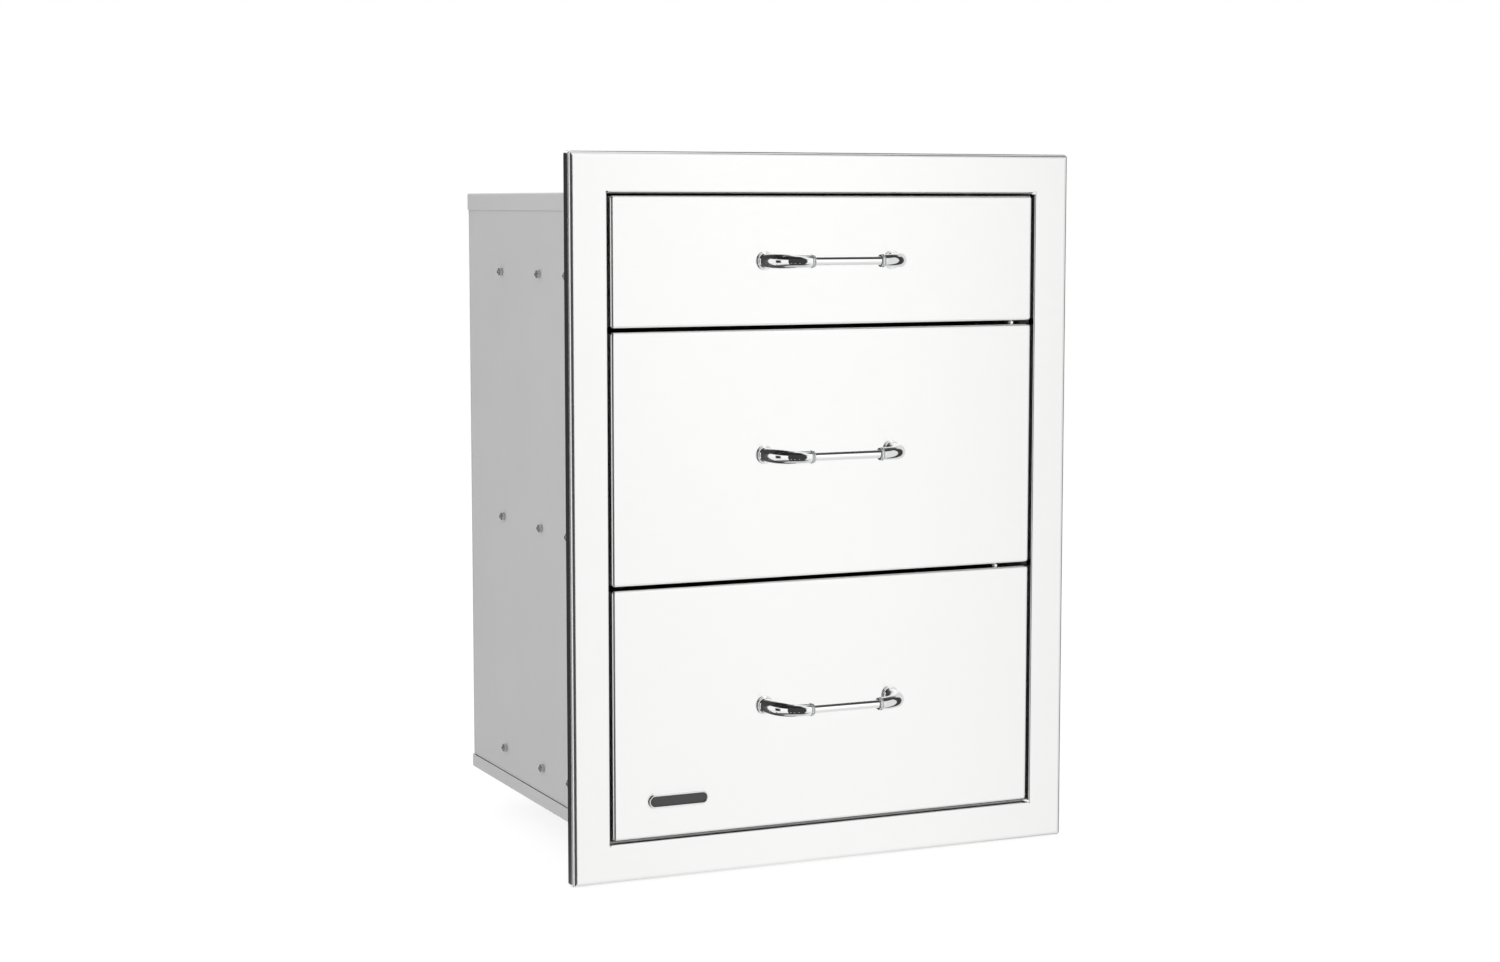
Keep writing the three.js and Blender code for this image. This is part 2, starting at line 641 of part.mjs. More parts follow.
// Drawer box: a deep tray with a hemmed rim, as wide as the slides leave room for, and drilled for
// the liner's studs and the inner channels' screws.
function drawerBox(drawer) {
  const walls = tray({
    width: BOX_WIDTH,
    depth: BOX_DEPTH,
    height: drawer.height - BOX_RISE - BOX_HEADROOM,
    sheet: BOX_SHEET,
    fold: BOX_FOLD,
    corner: BOX_CORNER,
    hem: { height: HEM_HEIGHT, thickness: HEM_THICKNESS },
  });
  let box = solidFrom(walls);
  const middleY = BOX_FRONT_Y + BOX_DEPTH / 2;
  for (const [x, z] of linerStudPlaces(drawer)) {
    const holeRadius = LINER_STUD_RADIUS + SCREW_HOLE_GAP;
    const drill = barAlongY(holeRadius, -CUT_OVERRUN, BOX_SHEET + CUT_OVERRUN, HOLE_SIDES);
    drill.translate(x, -BOX_DEPTH / 2, z + drawer.height / 2 - BOX_RISE);
    box = box.subtract(solidFrom(drill));
  }
  for (const sign of Object.values(SIDES)) {
    for (const place of BOX_SCREW_PLACES) {
      const wallX = (sign * BOX_WIDTH) / 2;
      const holeRadius = BOX_SCREW_RADIUS + SCREW_HOLE_GAP;
      const inX = wallX - sign * (BOX_SHEET + CUT_OVERRUN);
      const drill = barAlongX(holeRadius, inX, wallX + sign * CUT_OVERRUN, HOLE_SIDES);
      drill.translate(0, SLIDE_FRONT_Y + place - middleY, drawer.slideRise - BOX_RISE);
      box = box.subtract(solidFrom(drill));
    }
  }
  const mesh = meshOf(`drawer_box_${drawer.name}`, drawerSteel, box);
  mesh.position.set(0, middleY, drawer.z + BOX_RISE);
  return mesh;
}

// Handle post: rings of the elbow's outline along its path, with a socket for the bar in its collar
// and a threaded hole for the screw in its foot.
function handlePost(sign, name) {
  const footX = (sign * HANDLE_SPAN) / 2;
  const collarX = (sign * BAR_LENGTH) / 2;
  const path = new THREE.CubicBezierCurve3(
    new THREE.Vector3(footX, -SEAT_GAP, 0),
    new THREE.Vector3(footX, -HANDLE_STANDOFF * POST_LEAVE_SHARE, 0),
    new THREE.Vector3(collarX + (footX - collarX) * POST_ARRIVE_SHARE, -HANDLE_STANDOFF, 0),
    new THREE.Vector3(collarX, -HANDLE_STANDOFF, 0),
  );
  const up = new THREE.Vector3(0, 0, 1);
  const rings = POST_OUTLINE_SHARES.map(([along, radius]) => {
    const centre = path.getPointAt(along);
    const across = up.clone().cross(path.getTangentAt(along));
    const ring = [];
    for (let side = 0; side < ROUND_SIDES; side += 1) {
      const angle = (2 * Math.PI * side) / ROUND_SIDES;
      const spoke = across.clone().multiplyScalar(Math.cos(angle)).addScaledVector(up, Math.sin(angle));
      ring.push(centre.clone().addScaledVector(spoke, radius * POST_RADIUS));
    }
    return ring;
  });
  const socket = barAlongX(
    BAR_RADIUS + SEAT_GAP,
    collarX - sign * CUT_OVERRUN,
    collarX + sign * BAR_SOCKET,
    ROUND_SIDES,
  );
  const hole = barAlongY(HANDLE_SCREW_RADIUS + SEAT_GAP, -HANDLE_SCREW_LENGTH, CUT_OVERRUN, HOLE_SIDES);
  const post = solidFrom(loft(rings))
    .subtract(solidFrom(socket.translate(0, -HANDLE_STANDOFF, 0)))
    .subtract(solidFrom(hole.translate(footX, 0, 0)));
  return meshOf(`handle_post_${name}`, chrome, post);
}

function handleBar(name) {
  const half = BAR_LENGTH / 2 + BAR_SOCKET - SEAT_GAP;
  const bar = barAlongX(BAR_RADIUS, -half, half, ROUND_SIDES);
  bar.translate(0, -HANDLE_STANDOFF, 0);
  return meshOf(`handle_bar_${name}`, chrome, solidFrom(bar));
}

// The screw that holds a handle post, with its head inside the drawer front.
function handleScrew(sign, name) {
  const headY = FRONT_SHEET + SEAT_GAP;
  const tipY = headY - HANDLE_SCREW_LENGTH;
  const shank = barAlongY(HANDLE_SCREW_RADIUS, tipY, headY, HOLE_SIDES);
  const head = barAlongY(HANDLE_SCREW_HEAD_RADIUS, headY, headY + HANDLE_SCREW_HEAD_HEIGHT, HOLE_SIDES);
  const mesh = meshOf(`handle_screw_${name}`, zincSteel, solidFrom(shank).add(solidFrom(head)));
  mesh.position.x = (sign * HANDLE_SPAN) / 2;
  return mesh;
}

// One drawer: the box, and a group at the middle of the front's face for what is placed from it.
function drawerOf(drawer) {
  const face = new THREE.Group();
  face.position.set(0, FACE_Y, drawer.z + drawer.height / 2);
  face.add(frontSkin(drawer), frontLiner(drawer), handleBar(drawer.name));
  for (const [side, sign] of Object.entries(SIDES)) {
    const name = `${drawer.name}_${side}`;
    face.add(handlePost(sign, name), handleScrew(sign, name));
  }
  const group = new THREE.Group();
  group.add(face, drawerBox(drawer));
  return group;
}

const unit = new THREE.Group();
unit.name = 'drawer_unit';
unit.add(frontFrame(), lid(), caseTray('bottom_pan', PAN_SKIRT, PAN_GAP), backPanel());
for (const side of Object.keys(SIDES)) {
  unit.add(sidePanel(side));
}
for (const drawer of DRAWERS) {
  unit.add(drawerOf(drawer));
  for (const side of Object.keys(SIDES)) {
    unit.add(slide(drawer, side));
  }
}

export default unit;
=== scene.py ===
# %% [markdown]
# A built-in drawer unit of folded steel
# The real unit is a case of thin sheet steel that is let into an outdoor kitchen, with a polished
# frame round its mouth and three drawers on ball-bearing slides. Its shape is plain. What makes it
# look real is how polished sheet carries light round its folds, how chrome mirrors the room, and
# small honest parts such as nuts, beads and ball rows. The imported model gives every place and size,
# and this script gives the finish of each surface and the finer form of the pieces that show.

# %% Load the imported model
import json
import math

import bmesh
import bpy
from mathutils import Matrix, Vector


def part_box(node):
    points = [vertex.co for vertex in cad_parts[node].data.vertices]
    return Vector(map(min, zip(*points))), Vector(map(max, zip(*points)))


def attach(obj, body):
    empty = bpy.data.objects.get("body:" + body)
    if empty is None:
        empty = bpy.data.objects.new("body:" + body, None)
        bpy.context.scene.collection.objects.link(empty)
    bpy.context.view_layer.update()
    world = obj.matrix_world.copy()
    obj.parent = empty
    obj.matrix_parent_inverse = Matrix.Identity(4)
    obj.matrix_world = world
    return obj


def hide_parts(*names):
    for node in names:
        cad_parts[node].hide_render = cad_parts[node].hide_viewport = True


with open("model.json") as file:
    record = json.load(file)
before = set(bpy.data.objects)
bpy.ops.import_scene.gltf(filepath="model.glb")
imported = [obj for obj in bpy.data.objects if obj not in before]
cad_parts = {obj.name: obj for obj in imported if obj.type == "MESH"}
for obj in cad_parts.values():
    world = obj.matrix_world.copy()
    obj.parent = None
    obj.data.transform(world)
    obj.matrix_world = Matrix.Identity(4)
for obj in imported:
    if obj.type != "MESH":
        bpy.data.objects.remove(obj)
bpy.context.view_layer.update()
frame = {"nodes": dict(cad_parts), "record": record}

scene = bpy.context.scene
MM = 0.001

# %% [markdown]
# The camera
# The photograph was taken from the front left, a little below the top of the frame, with a longish
# lens. The frame and the opening are two rectangles of known shape, and their eight corners fix
# where the camera stood and how long its lens was, so both are written here as measured values.

# %% Place the camera
CAMERA_PLACE = Vector((-1.1685, -2.4199, 0.62445))
CAMERA_TURN = math.radians(24.224)
CAMERA_DIP = math.radians(5.897)
LENS = 64.55
SENSOR = 36.0


def add_object(name, data):
    made = bpy.data.objects.new(name, data)
    scene.collection.objects.link(made)
    return made


lens = bpy.data.cameras.new("photo_camera")
lens.lens = LENS
lens.sensor_width = SENSOR
camera = add_object("photo_camera", lens)
camera.location = CAMERA_PLACE
camera.rotation_euler = (math.pi / 2 - CAMERA_DIP, 0.0, -CAMERA_TURN)
scene.camera = camera
scene.view_settings.view_transform = "Standard"
print("camera", round(CAMERA_PLACE.length, 2), "m from the origin")

# %% [markdown]
# Small helpers for node trees
# Shader, world and geometry trees are all built the same way: add a node, and give each of its
# inputs a value or the output of an earlier node. One short function does both, and three more
# build on it, so that the later cells hold only what matters in them.


# %% Node helpers
def add(tree, kind, inputs=None, **settings):
    """Adds a node. Each input gets a value, or an earlier node's output."""
    node = tree.nodes.new(kind)
    for name, value in settings.items():
        setattr(node, name, value)
    for socket, value in (inputs or {}).items():
        if isinstance(value, bpy.types.NodeSocket):
            tree.links.new(value, node.inputs[socket])
        else:
            node.inputs[socket].default_value = value
    return node


def calc(tree, operation, *values):
    return add(tree, "ShaderNodeMath", dict(enumerate(values)), operation=operation).outputs[0]


def ramp(tree, value, starts, ends):
    """Runs smoothly from one end to the other while the value runs between the starts."""
    names = ("Value", "From Min", "From Max", "To Min", "To Max")
    inputs = dict(zip(names, (value, *starts, *ends)))
    return add(tree, "ShaderNodeMapRange", inputs, interpolation_type="SMOOTHSTEP").outputs["Result"]


def node_group(name, kind, inputs, outputs):
    """An empty node group with its sockets, and what comes in through them."""
    tree = bpy.data.node_groups.new(name, kind)
    for way, sockets in (("INPUT", inputs), ("OUTPUT", outputs)):
        for label, socket_type in sockets.items():
            tree.interface.new_socket(label, in_out=way, socket_type=f"NodeSocket{socket_type}")
    return tree, tree.nodes.new("NodeGroupInput").outputs


# %% [markdown]
# The room that the metal mirrors
# Polished metal has hardly any colour of its own. It shows the room, so a photographer of metal
# lights the room and not the object: white walls all round, a softer ceiling, and dark gaps between
# them that draw the edges. The background is white for the camera. For reflections the same white
# is dimmed by a few soft cards, each a patch of sky given by its bearing and its height. A group
# works out one card, and the world holds one copy for each card.

# %% One soft card as a node group
FULL_TURN = 360.0
CARD_SOCKETS = (
    "Middle Bearing", "Half Width", "Middle Height", "Half Height", "Side Softness", "Edge Softness",
)


def soft_card_group():
    sockets = {name: "Float" for name in ("Bearing", "Height", *CARD_SOCKETS)}
    tree, into = node_group("soft_card", "ShaderNodeTree", sockets, {"Mask": "Float"})

    def fade(distance, half, softness):
        start = calc(tree, "SUBTRACT", half, softness)
        end = calc(tree, "ADD", half, softness)
        return ramp(tree, distance, (start, end), (1.0, 0.0))

    turn = calc(tree, "SUBTRACT", into["Bearing"], into["Middle Bearing"])
    turn = calc(tree, "WRAP", turn, FULL_TURN / 2, -FULL_TURN / 2)
    climb = calc(tree, "SUBTRACT", into["Height"], into["Middle Height"])
    across = fade(calc(tree, "ABSOLUTE", turn), into["Half Width"], into["Side Softness"])
    along = fade(calc(tree, "ABSOLUTE", climb), into["Half Height"], into["Edge Softness"])
    add(tree, "NodeGroupOutput", {"Mask": calc(tree, "MULTIPLY", across, along)})
    return tree


SOFT_CARD = soft_card_group()
print("card group", len(SOFT_CARD.nodes), "nodes")

# %% [markdown]
# The cards themselves
# Bearings are in degrees from straight in front of the unit, positive to its right. A wall all round
# lights the room, a little dimmer low down and on the right, with a brighter glow where the fronts
# mirror it. The dark cards high on the left and at the zenith draw the dark line along the top of
# each handle, and the table's edge draws the lower one. The card where the camera stands draws the
# grey line on every upright fold, the one behind on the left darkens the edge that the frame turns
# back to the island, and the strip beside on the right draws the arc round the far elbows.

# %% The world
# card: middle bearing, half width, middle height, half height, side and edge softness, brightness
CARDS = {
    "low_wall": (0, 200, -34, 16, 1, 8, 0.93),
    "right_wall": (66, 32, 0, 80, 5, 10, 0.8),
    "zenith": (-77, 105, 90, 20, 3, 4, 0.12),
    "ceiling_right": (94, 57, 53, 14, 5, 3, 0.06),
    "table_edge": (-67, 95, -57, 13, 2, 3, 0.14),
    "table_below": (0, 200, -90, 21, 1, 4, 0.6),
    "high_left": (-60, 72, 50, 26, 6, 3, 0.02),
    "camera_side": (-21, 30, -10, 56, 2, 3, 0.05),
    "behind_left": (-150, 70, -3, 17, 4, 5, 0.035),
    "beside_right": (88, 14, 0, 60, 3, 6, 0.05),
    "glint_left": (-40, 2.2, -34, 2.2, 1, 1, 1.0),
    "glint_middle": (-27, 2.6, -37, 1.8, 1, 1, 1.0),
    "glint_right": (-12, 1.8, -33, 1.8, 1, 1, 1.0),
}
GLOW = (26.3, 3, 19, 18, 2.5, 8)
GLOW_LIGHT = 0.5
WALL_LIGHT = 1.04
ROOM_LIGHT = 0.8
WHITE = (1.0, 1.0, 1.0, 1.0)


def studio_world():
    world = bpy.data.worlds.new("studio")
    world.use_nodes = True
    tree = world.node_tree
    tree.nodes.clear()
    place = add(tree, "ShaderNodeTexCoord").outputs["Generated"]
    x, y, z = add(tree, "ShaderNodeSeparateXYZ", {"Vector": place}).outputs
    in_front = calc(tree, "MULTIPLY", y, -1.0)
    bearing = calc(tree, "DEGREES", calc(tree, "ARCTAN2", x, in_front))
    height = calc(tree, "DEGREES", calc(tree, "ARCSINE", z))

    def card(name, values):
        inputs = {"Bearing": bearing, "Height": height, **dict(zip(CARD_SOCKETS, values))}
        return add(tree, "ShaderNodeGroup", inputs, node_tree=SOFT_CARD, label=name).outputs["Mask"]

    def mix(share, first, second):
        inputs = {0: share, 2: first, 3: second}
        return add(tree, "ShaderNodeMix", inputs, data_type="FLOAT").outputs[0]

    light = calc(tree, "ADD", calc(tree, "MULTIPLY", card("glow", GLOW), GLOW_LIGHT), WALL_LIGHT)
    for name, (*values, brightness) in CARDS.items():
        light = mix(card(name, values), light, brightness)
    path = add(tree, "ShaderNodeLightPath").outputs
    mirrors = calc(tree, "MAXIMUM", path["Is Glossy Ray"], path["Is Transmission Ray"])
    strength = calc(tree, "MAXIMUM", mix(mirrors, ROOM_LIGHT, light), path["Is Camera Ray"])
    background = add(tree, "ShaderNodeBackground", {"Color": WHITE, "Strength": strength})
    add(tree, "ShaderNodeOutputWorld", {"Surface": background.outputs["Background"]})
    scene.world = world


studio_world()
print("world with", len(CARDS), "cards")

# %% [markdown]
# The floor and the lamps
# The unit stands on a plain pale floor at the height of the frame's lower edge. The camera sees it
# almost white, with a part of its true shading left in, so the soft shadow under the unit stays.
# Three wide lamps add a little direction to the even light of the room.

# %% Floor
FLOOR_SIZE = 30.0
FLOOR_COLOUR = (0.9, 0.9, 0.9, 1.0)
SHADOW_KEPT = 0.25
FLOOR_WHITE = 1.1


def studio_floor(level):
    material = bpy.data.materials.new("floor_white")
    material.use_nodes = True
    tree = material.node_tree
    tree.nodes.clear()
    matt = add(tree, "ShaderNodeBsdfDiffuse", {"Color": FLOOR_COLOUR}).outputs[0]
    white = add(tree, "ShaderNodeEmission", {"Strength": FLOOR_WHITE}).outputs[0]
    path = add(tree, "ShaderNodeLightPath").outputs
    share = calc(tree, "MULTIPLY", path["Is Camera Ray"], 1.0 - SHADOW_KEPT)
    mix = add(tree, "ShaderNodeMixShader", {0: share, 1: matt, 2: white})
    add(tree, "ShaderNodeOutputMaterial", {"Surface": mix.outputs["Shader"]})
    mesh = bpy.data.meshes.new("floor")
    half = FLOOR_SIZE / 2
    corners = [(-half, -half, level), (half, -half, level), (half, half, level), (-half, half, level)]
    mesh.from_pydata(corners, [], [(0, 1, 2, 3)])
    mesh.materials.append(material)
    floor = add_object("floor", mesh)
    floor.visible_glossy = False


frame_low, frame_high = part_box("front_frame")
studio_floor(frame_low.z)
print("floor at", round(frame_low.z, 4), "m")

# %% Lamps
# lamp: place, size and power
LAMPS = {
    "key_left": ((-2.4, -2.0, 2.6), 2.2, 42.0),
    "fill_right": ((2.6, -2.2, 2.0), 2.4, 26.0),
    "behind": ((0.4, 3.0, 2.4), 2.2, 22.0),
}
LAMP_AIM = Vector((0.0, 0.1, 0.3))

for lamp_name, (lamp_place, lamp_size, lamp_power) in LAMPS.items():
    light = bpy.data.lights.new(lamp_name, "AREA")
    light.shape = "DISK"
    light.size = lamp_size
    light.energy = lamp_power
    lamp = add_object(lamp_name, light)
    lamp.location = lamp_place
    lamp.rotation_euler = (LAMP_AIM - Vector(lamp_place)).to_track_quat("-Z", "Y").to_euler()
    lamp.visible_glossy = False
print("lamps", ", ".join(LAMPS))

# %% [markdown]
# The noise that several metals share
# Rolled and polished sheet has a grain: fine scratches that run one way. It also carries a faint
# haze from handling, and thin sheet is never quite flat, which shows only as a slow bend in what it
# mirrors. All three are one group, placed in each metal with its own scale, stretch and range. It
# only ever puts out a value, which the material turns into colour, roughness or bump.

# %% Noise group
NOISE_SOCKETS = {"Vector": "Vector", "Stretch": "Vector", "Scale": "Float", "Low": "Float", "High": "Float"}
NOISE_DETAIL = {"Detail": 3.0, "Roughness": 0.55}
NOISE_SPAN = {"From Min": 0.3, "From Max": 0.7}
ACROSS = (0.02, 1.0, 1.0)
UPRIGHT = (1.0, 1.0, 0.02)
LENGTHWAYS = (1.0, 0.02, 1.0)
EVEN = (1.0, 1.0, 1.0)


def noise_group():
    tree, into = node_group("sheet_noise", "ShaderNodeTree", NOISE_SOCKETS, {"Value": "Float"})
    place = add(tree, "ShaderNodeVectorMath", {0: into["Vector"], 1: into["Stretch"]}, operation="MULTIPLY")
    noise = add(tree, "ShaderNodeTexNoise", {
        "Vector": place.outputs[0], "Scale": into["Scale"], **NOISE_DETAIL,
    })
    spread = add(tree, "ShaderNodeMapRange", {
        "Value": noise.outputs[0], "To Min": into["Low"], "To Max": into["High"], **NOISE_SPAN,
    })
    add(tree, "NodeGroupOutput", {"Value": spread.outputs["Result"]})
    return tree


NOISE = noise_group()
print("noise group", len(NOISE.nodes), "nodes")

# %% [markdown]
# The metals
# Every metal here is the same recipe with its own numbers: a base colour that haze lifts and lowers
# by a few hundredths, a roughness that follows grain and haze, and a bump of grain over wave. The
# polished sheet is pale, its brushing smears what it mirrors up and down, and the mirror grows clearer
# where the sheet is seen at a slant. The case is dull mill sheet, the drawers lie between the two,
# zinc plating is bluish and a little blotchy, and chrome is nearly a mirror.

# %% Painted shade in a seam
SEAM_SHADE = 0.06


def seam_mask(tree, place, face_x, reach, start_y, level):
    """1 on a side panel's outer face where the pan's skirt covers it, and 0 elsewhere: where shade is
    painted.
    """
    x, y, z = add(tree, "ShaderNodeSeparateXYZ", {"Vector": place}).outputs
    outside = calc(tree, "COMPARE", calc(tree, "ABSOLUTE", x), face_x, reach)
    behind = calc(tree, "GREATER_THAN", y, start_y)
    below = calc(tree, "LESS_THAN", z, level)
    return calc(tree, "MULTIPLY", calc(tree, "MULTIPLY", outside, behind), below)


# %% Metal recipe
SMEAR_LEAN = 0.02
GLANCE_BLEND = 0.5
GLANCE = (0.15, 0.5)


def metal(
    name, colour, roughness, spread, grain_scale, stretch, grain_depth,
    wave=None, blotch=0.03, haze_scale=9.0, metallic=1.0, smear=0.0, glancing=1.0, seam=None,
):
    material = bpy.data.materials.new(name)
    material.use_nodes = True
    tree = material.node_tree
    place = add(tree, "ShaderNodeTexCoord").outputs["Object"]

    def noise(scale, low, high, drawn=EVEN):
        inputs = {"Vector": place, "Stretch": drawn, "Scale": scale, "Low": low, "High": high}
        return add(tree, "ShaderNodeGroup", inputs, node_tree=NOISE).outputs["Value"]

    haze = noise(haze_scale, 1.0 - blotch, 1.0 + blotch)
    tone = haze
    # Painted shade: inside the seam mask the base colour falls to SEAM_SHADE, so the shadow in the seam
    # shows as a dark line.
    if seam:
        shade = calc(tree, "MULTIPLY_ADD", seam_mask(tree, place, *seam), SEAM_SHADE - 1.0, 1.0)
        tone = calc(tree, "MULTIPLY", haze, shade)
    tint = add(tree, "ShaderNodeVectorMath", {0: colour, "Scale": tone}, operation="SCALE")
    grain = noise(grain_scale, 0.0, 1.0, stretch)
    rough = calc(tree, "MULTIPLY_ADD", grain, spread, roughness - spread / 2)
    rough = calc(tree, "MULTIPLY", rough, haze)
    if glancing < 1.0:
        look = add(tree, "ShaderNodeLayerWeight", {"Blend": GLANCE_BLEND}).outputs["Facing"]
        rough = calc(tree, "MULTIPLY", rough, ramp(tree, look, GLANCE, (1.0, glancing)))
    height = calc(tree, "MULTIPLY", grain, grain_depth)
    if wave:
        wave_scale, wave_depth = wave
        height = calc(tree, "ADD", height, noise(wave_scale, 0.0, wave_depth))
    bump = add(tree, "ShaderNodeBump", {"Distance": 1.0, "Strength": 1.0, "Height": height})

    shader = tree.nodes["Principled BSDF"].inputs
    shader["Metallic"].default_value = metallic
    tree.links.new(tint.outputs["Vector"], shader["Base Color"])
    tree.links.new(rough, shader["Roughness"])
    tree.links.new(bump.outputs["Normal"], shader["Normal"])
    if smear:
        shader["Anisotropic"].default_value = smear
        upright = add(tree, "ShaderNodeCombineXYZ", {"Y": SMEAR_LEAN, "Z": 1.0})
        tree.links.new(upright.outputs["Vector"], shader["Tangent"])
    return material


# %% The six metals of the record
# metal: colour, roughness and its spread, the grain's scale, stretch and depth, and what is its own
METAL_LOOKS = {
    "polished_steel": ((0.965, 0.965, 0.96), 0.32, 0.04, 1500.0, ACROSS, 1e-6, {
        "wave": (2.5, 2e-4), "blotch": 0.004, "smear": 0.9, "glancing": 0.25,
    }),
    "case_steel": ((0.69, 0.69, 0.69), 0.6, 0.1, 900.0, UPRIGHT, 4e-6, {
        "wave": (2.0, 3e-4), "blotch": 0.01, "metallic": 0.35,
    }),
    "drawer_steel": ((0.7, 0.7, 0.705), 0.4, 0.1, 1100.0, LENGTHWAYS, 3e-6, {
        "wave": (3.0, 3e-4), "blotch": 0.02, "metallic": 0.65,
    }),
    "zinc_steel": ((0.5, 0.51, 0.525), 0.15, 0.06, 300.0, EVEN, 2e-6, {
        "blotch": 0.06, "haze_scale": 60.0, "metallic": 0.85,
    }),
    "cage_steel": ((0.5, 0.51, 0.53), 0.3, 0.08, 700.0, LENGTHWAYS, 2e-6, {"blotch": 0.04}),
    "chrome": ((0.9, 0.905, 0.91), 0.035, 0.015, 200.0, EVEN, 2e-7, {
        "blotch": 0.008, "haze_scale": 30.0,
    }),
}
METALS = {name: metal(name, *look, **own) for name, (*look, own) in METAL_LOOKS.items()}
print("metals", ", ".join(METALS))

# %% [markdown]
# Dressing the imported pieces
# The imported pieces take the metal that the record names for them. The screws hidden inside the
# fronts already have their right shape and stay as they are. Every other piece gives way further
# down to a finer one of the same place and size.

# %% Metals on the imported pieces
for row in frame["record"]["subparts"]:
    node = frame["nodes"][row["node"]]
    node.data.materials.clear()
    node.data.materials.append(METALS[row["material_slot"]])

# %% [markdown]
# Folded sheet
# A folded edge on thin steel is a quarter of a small tube between two flats, and it catches a line
# of light that a sharp edge never would. Every folded piece here is a stack of rings round the
# sheet, close together where it bends. One more ring just inside each flat keeps the flat truly
# flat, because smooth shading would otherwise bend its reflection near the fold.

# %% Ring and fold helpers
FOLD_STEPS = 8
CORNER_STEPS = 8
HOLD = 0.3 * MM
SHARP_CORNER = 0.3 * MM
QUARTERS = ((1, 1), (-1, 1), (-1, -1), (1, -1))


def inset_ring(width, depth, corner):
    """Gives a function that draws a rectangle with round corners, by its inset and its level."""
    def ring(inset, level):
        radius = max(corner - inset, SHARP_CORNER)
        points = []
        for quarter, (sign_x, sign_y) in enumerate(QUARTERS):
            for step in range(CORNER_STEPS + 1):
                angle = (quarter + step / CORNER_STEPS) * math.pi / 2
                x = sign_x * (width / 2 - inset - radius) + radius * math.cos(angle)
                y = sign_y * (depth / 2 - inset - radius) + radius * math.sin(angle)
                points.append(Vector((x, y, level)))
        return points

    return ring


def fold_steps(radius):
    """Inset and level of each ring round a fold, from one flat to the other."""
    steps = [(radius + HOLD, 0.0)]
    for step in range(FOLD_STEPS + 1):
        angle = step / FOLD_STEPS * math.pi / 2
        steps.append((radius * (1 - math.sin(angle)), radius * (1 - math.cos(angle))))
    return steps + [(0.0, radius + HOLD)]


def tray_fold(ring, radius, inner=0.0):
    """The rings from a tray's floor up round its fold, on its outer face or a sheet further in."""
    return [ring(inner + inset, inner + level) for inset, level in fold_steps(radius)]


def rim_fold(ring, top, outer_fold, width, inner_fold):
    """The rings over a rim, up round its outer fold and down round its inner one."""
    rings = [ring(inset, top - drop) for inset, drop in reversed(fold_steps(outer_fold))]
    return rings + [ring(width - inset, top - drop) for inset, drop in fold_steps(inner_fold)]


def round_steps(count, start=0.0):
    """Cosine and sine of even steps round a circle."""
    for step in range(count):
        angle = 2 * math.pi * (step + start) / count
        yield math.cos(angle), math.sin(angle)


def standing(place, angle=math.pi / 2):
    """Sets up a shape that was drawn flat, at a place."""
    return Matrix.Translation(place) @ Matrix.Rotation(angle, 4, "X")


# %% Mesh helpers
SMOOTH_ANGLE = math.radians(35)
MERGE = 0.000002


def loft(rings, looped=False, shape=None):
    """Joins rings into a closed shape, or adds them to one."""
    shape = shape or bmesh.new()
    rows = [[shape.verts.new(point) for point in ring] for ring in rings]
    pairs = list(zip(rows, rows[1:]))
    if looped:
        pairs.append((rows[-1], rows[0]))
    for low, high in pairs:
        for here in range(len(low)):
            beside = (here + 1) % len(low)
            shape.faces.new((low[here], low[beside], high[beside], high[here]))
    if not looped:
        shape.faces.new(list(reversed(rows[0])))
        shape.faces.new(rows[-1])
    return shape


def face_outwards(shape):
    bmesh.ops.recalc_face_normals(shape, faces=shape.faces)


def merge_doubles(shape):
    bmesh.ops.remove_doubles(shape, verts=shape.verts, dist=MERGE)


def smooth(mesh):
    mesh.shade_smooth()
    mesh.set_sharp_from_angle(angle=SMOOTH_ANGLE)


def into_mesh(shape, mesh):
    shape.to_mesh(mesh)
    shape.free()
    smooth(mesh)
    return mesh


# %% Pieces
def dress(made, body, slot, *replaces):
    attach(made, body)
    if replaces:
        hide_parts(*replaces)


def piece(name, shape, slot, body, *replaces, turn=None, finish=None):
    """Makes a shape into a piece that rides on a body, in the slot's metal or a finish of its own."""
    face_outwards(shape)
    if turn is not None:
        shape.transform(turn)
    mesh = into_mesh(shape, bpy.data.meshes.new(name))
    mesh.materials.append(finish or METALS[slot])
    made = add_object(name, mesh)
    dress(made, body, slot, *replaces)
    return made


def bake(made):
    """Turns the modifiers of an object into plain mesh, and takes them off."""
    graph = bpy.context.evaluated_depsgraph_get()
    done = bpy.data.meshes.new_from_object(made.evaluated_get(graph))
    made.modifiers.clear()
    made.data = done
    smooth(done)


def cut_away(made, shape, crossing=False):
    """Cuts a shape out of an object. Parts of the shape may cross if that is said."""
    face_outwards(shape)
    cutter = add_object("cutter", into_mesh(shape, bpy.data.meshes.new("cutter")))
    cut = made.modifiers.new("cut", "BOOLEAN")
    cut.operation = "DIFFERENCE"
    cut.solver = "EXACT"
    cut.use_self = crossing
    cut.object = cutter
    bake(made)
    bpy.data.objects.remove(cutter)


# %% [markdown]
# The frame round the opening
# The frame is one sheet: folded back to the island all round its outside, and folded back as a short
# lip all round the opening. Its cross-section is a closed line, and each point of it becomes one
# ring. At the four corners of the opening a small round notch frees the folds from each other, as
# the sheet would tear there without it. The notches are cut with a boolean.

# %% Frame sizes
BORDER = 39.4 * MM
SHEET = 1.2 * MM
FRAME_FOLD = 5.0 * MM
FRAME_CORNER = 3.5 * MM
LIP = 10.0 * MM
LIP_FOLD = 1.5 * MM
NOTCH_RADIUS = 1.5 * MM
NOTCH_SIDES = 24
NOTCH_DEPTH = 40.0 * MM

